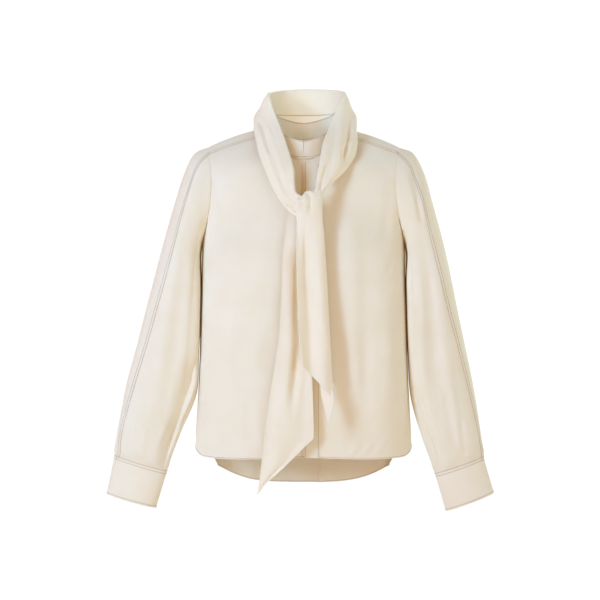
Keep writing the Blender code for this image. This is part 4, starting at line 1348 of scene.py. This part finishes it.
def addButton(side, sleeve):
    s = buttonSetup
    bpy.ops.object.select_all(action="DESELECT")
    bpy.ops.mesh.primitive_cylinder_add(
        vertices=40, radius=s["radius"] * mm, depth=s["thick"] * mm, location=(0, 0, s["thick"] / 2 * mm)
    )
    button = bpy.context.active_object
    button.name = f"cuffButton_{side}"
    bpy.ops.object.transform_apply(location=True, rotation=True, scale=True)
    bpy.ops.object.mode_set(mode="EDIT")
    bpy.ops.mesh.select_all(action="DESELECT")
    bpy.ops.object.mode_set(mode="OBJECT")
    for face in button.data.polygons:
        face.select = face.normal.z > 0.9
    bpy.ops.object.mode_set(mode="EDIT")
    bpy.ops.mesh.inset(thickness=s["rim"] * mm)
    bpy.ops.mesh.inset(thickness=0.5 * mm)
    bpy.ops.transform.translate(value=(0, 0, -s["dish"] * mm))
    bpy.ops.object.mode_set(mode="OBJECT")
    for k in range(4):
        a = math.radians(45 + 90 * k)
        bpy.ops.object.select_all(action="DESELECT")
        bpy.ops.mesh.primitive_cylinder_add(
            vertices=14,
            radius=s["hole"] * mm,
            depth=6 * mm,
            location=(s["holeAt"] * math.cos(a) * 1.3 * mm, s["holeAt"] * math.sin(a) * 1.3 * mm, mm),
        )
        drill = bpy.context.active_object
        cut = button.modifiers.new("hole", "BOOLEAN")
        cut.operation = "DIFFERENCE"
        cut.object = drill
        bpy.context.view_layer.objects.active = button
        bpy.ops.object.modifier_apply(modifier="hole")
        bpy.data.objects.remove(drill)
    soft = button.modifiers.new("rim", "BEVEL")
    soft.width = 0.28 * mm
    soft.segments = 3
    soft.limit_method = "ANGLE"
    soft.angle_limit = math.radians(40)
    bpy.context.view_layer.objects.active = button
    bpy.ops.object.modifier_apply(modifier="rim")
    button.data.shade_smooth()
    button.data.set_sharp_from_angle(angle=math.radians(40))
    seat, normal = buttonPlaceOn(side, sleeve)
    turn = Vector((0, 0, 1)).rotation_difference(Vector(normal)).to_matrix().to_4x4()
    place = Matrix.Translation(Vector(seat + normal * s["seat"]) * mm) @ turn
    button.data.transform(place)
    button.data.materials.clear()
    button.data.materials.append(buttonMaterial)
    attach(button, "root")
    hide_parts(f"cuff_button_{side}")
    across = np.array(turn.to_3x3() @ Vector((1, 0, 0)))
    up = np.array(turn.to_3x3() @ Vector((0, 1, 0)))
    middle = seat + normal * (s["seat"] + s["thick"] - s["dish"] - 0.1)
    reach = s["holeAt"] * 1.3 * math.cos(math.radians(45))
    crossing = []
    for sign in (-1, 1):
        for sideways in (-0.3, 0.3):
            ends = [middle + across * (sign * reach + sideways) + up * reach * k for k in (-1.1, 0, 1.1)]
            crossing.append((np.array(ends), np.array([normal] * 3)))
    addStitches(f"buttonThread_{side}", crossing, threadMaterial)


addButton("right", sleeveRight)
addButton("left", sleeveLeft)


print("stage")
stageSetup = {"floor": -1.45, "radius": 2.6}
bpy.ops.object.select_all(action="DESELECT")
bpy.ops.mesh.primitive_circle_add(
    vertices=96, radius=stageSetup["radius"], fill_type="NGON", location=(0, 0, stageSetup["floor"])
)
floor = bpy.context.active_object
floor.name = "paleFloor"
floorMaterial, floorShader = newMaterial("palePaintedFloor", {"Base Color": linear("#EFEDEA"), "Roughness": 0.7})
floor.data.materials.append(floorMaterial)

# A cool key from the left over a warm front fill: what the key misses turns golden
lightSetup = {
    "key": {"place": (-2.1, -2.1, 0.12), "aim": (0, 0, -0.3), "size": 0.6, "power": (13, 25, 42)},
    "high": {"place": (-1.74, -1.93, 1.2), "aim": (0, 0, -0.3), "size": 0.8, "power": (14, 22.5, 36)},
    "front": {"place": (0, -3.0, -0.2), "aim": (0, 0, -0.3), "size": 2.0, "power": (22, 11, 3)},
    "side": {"place": (2.0, -2.1, 0.1), "aim": (0, 0, -0.3), "size": 1.2, "power": (2, 5, 9)},
    "neck": {"place": (0, -2.2, 1.6), "aim": (0, 0.064, 0.018), "cone": 4.2, "power": (78, 94, 108)},
}
for name, s in lightSetup.items():
    data = bpy.data.lights.new(name + "Light", "SPOT" if "cone" in s else "AREA")
    if "cone" in s:
        data.spot_size = math.radians(s["cone"])
        data.spot_blend = 1.0
        data.shadow_soft_size = 0.02
    else:
        data.shape = "DISK"
        data.size = s["size"]
    data.energy = max(s["power"])
    data.color = [watts / max(s["power"]) for watts in s["power"]]
    lamp = bpy.data.objects.new(name + "Light", data)
    lamp.location = s["place"]
    lamp.visible_camera = False
    lamp.rotation_euler = (Vector(s["aim"]) - Vector(s["place"])).to_track_quat("-Z", "Y").to_euler()
    bpy.context.scene.collection.objects.link(lamp)

# The walls of the studio: white on the right and behind, dim and warm on the left. The camera sees plain white
wallSetup = {
    "right": {"towards": (1, 0, 0), "colour": (1.02, 1.10, 1.14, 1)},
    "left": {"towards": (-1, 0, 0), "colour": (0.64, 0.32, 0.16, 1)},
    "behind": {"towards": (0, 1, 0), "colour": (0.90, 0.90, 0.85, 1)},
}
world = bpy.data.worlds.new("studio")
world.use_nodes = True
bpy.context.scene.world = world
worldNodes = world.node_tree.nodes
worldNodes.remove(worldNodes["Background"])
direction = addNode(world, "ShaderNodeTexCoord")
walls = None
for name, s in wallSetup.items():
    facing = addNode(
        world,
        "ShaderNodeVectorMath",
        {1: s["towards"]},
        {0: (direction, "Generated")},
        operation="DOT_PRODUCT",
    )
    level = addNode(world, "ShaderNodeMath", {1: 0.0}, {0: (facing, "Value")}, operation="MAXIMUM")
    wall = addNode(world, "ShaderNodeBackground", {"Color": s["colour"]}, {"Strength": (level, "Value")})
    if walls is None:
        walls = (wall, "Background")
    else:
        walls = (addNode(world, "ShaderNodeAddShader", {}, {0: walls, 1: (wall, "Background")}), "Shader")
white = addNode(world, "ShaderNodeBackground", {"Color": (1, 1, 1, 1), "Strength": 1.05})
path = addNode(world, "ShaderNodeLightPath")
seen = addNode(
    world, "ShaderNodeMixShader", {}, {0: (path, "Is Camera Ray"), 1: walls, 2: (white, "Background")}
)
world.node_tree.links.new(seen.outputs["Shader"], worldNodes["World Output"].inputs["Surface"])
bpy.context.scene.view_settings.view_transform = "Standard"
bpy.context.scene.view_settings.look = "None"
bpy.context.scene.view_settings.exposure = 0.0

print("finish")
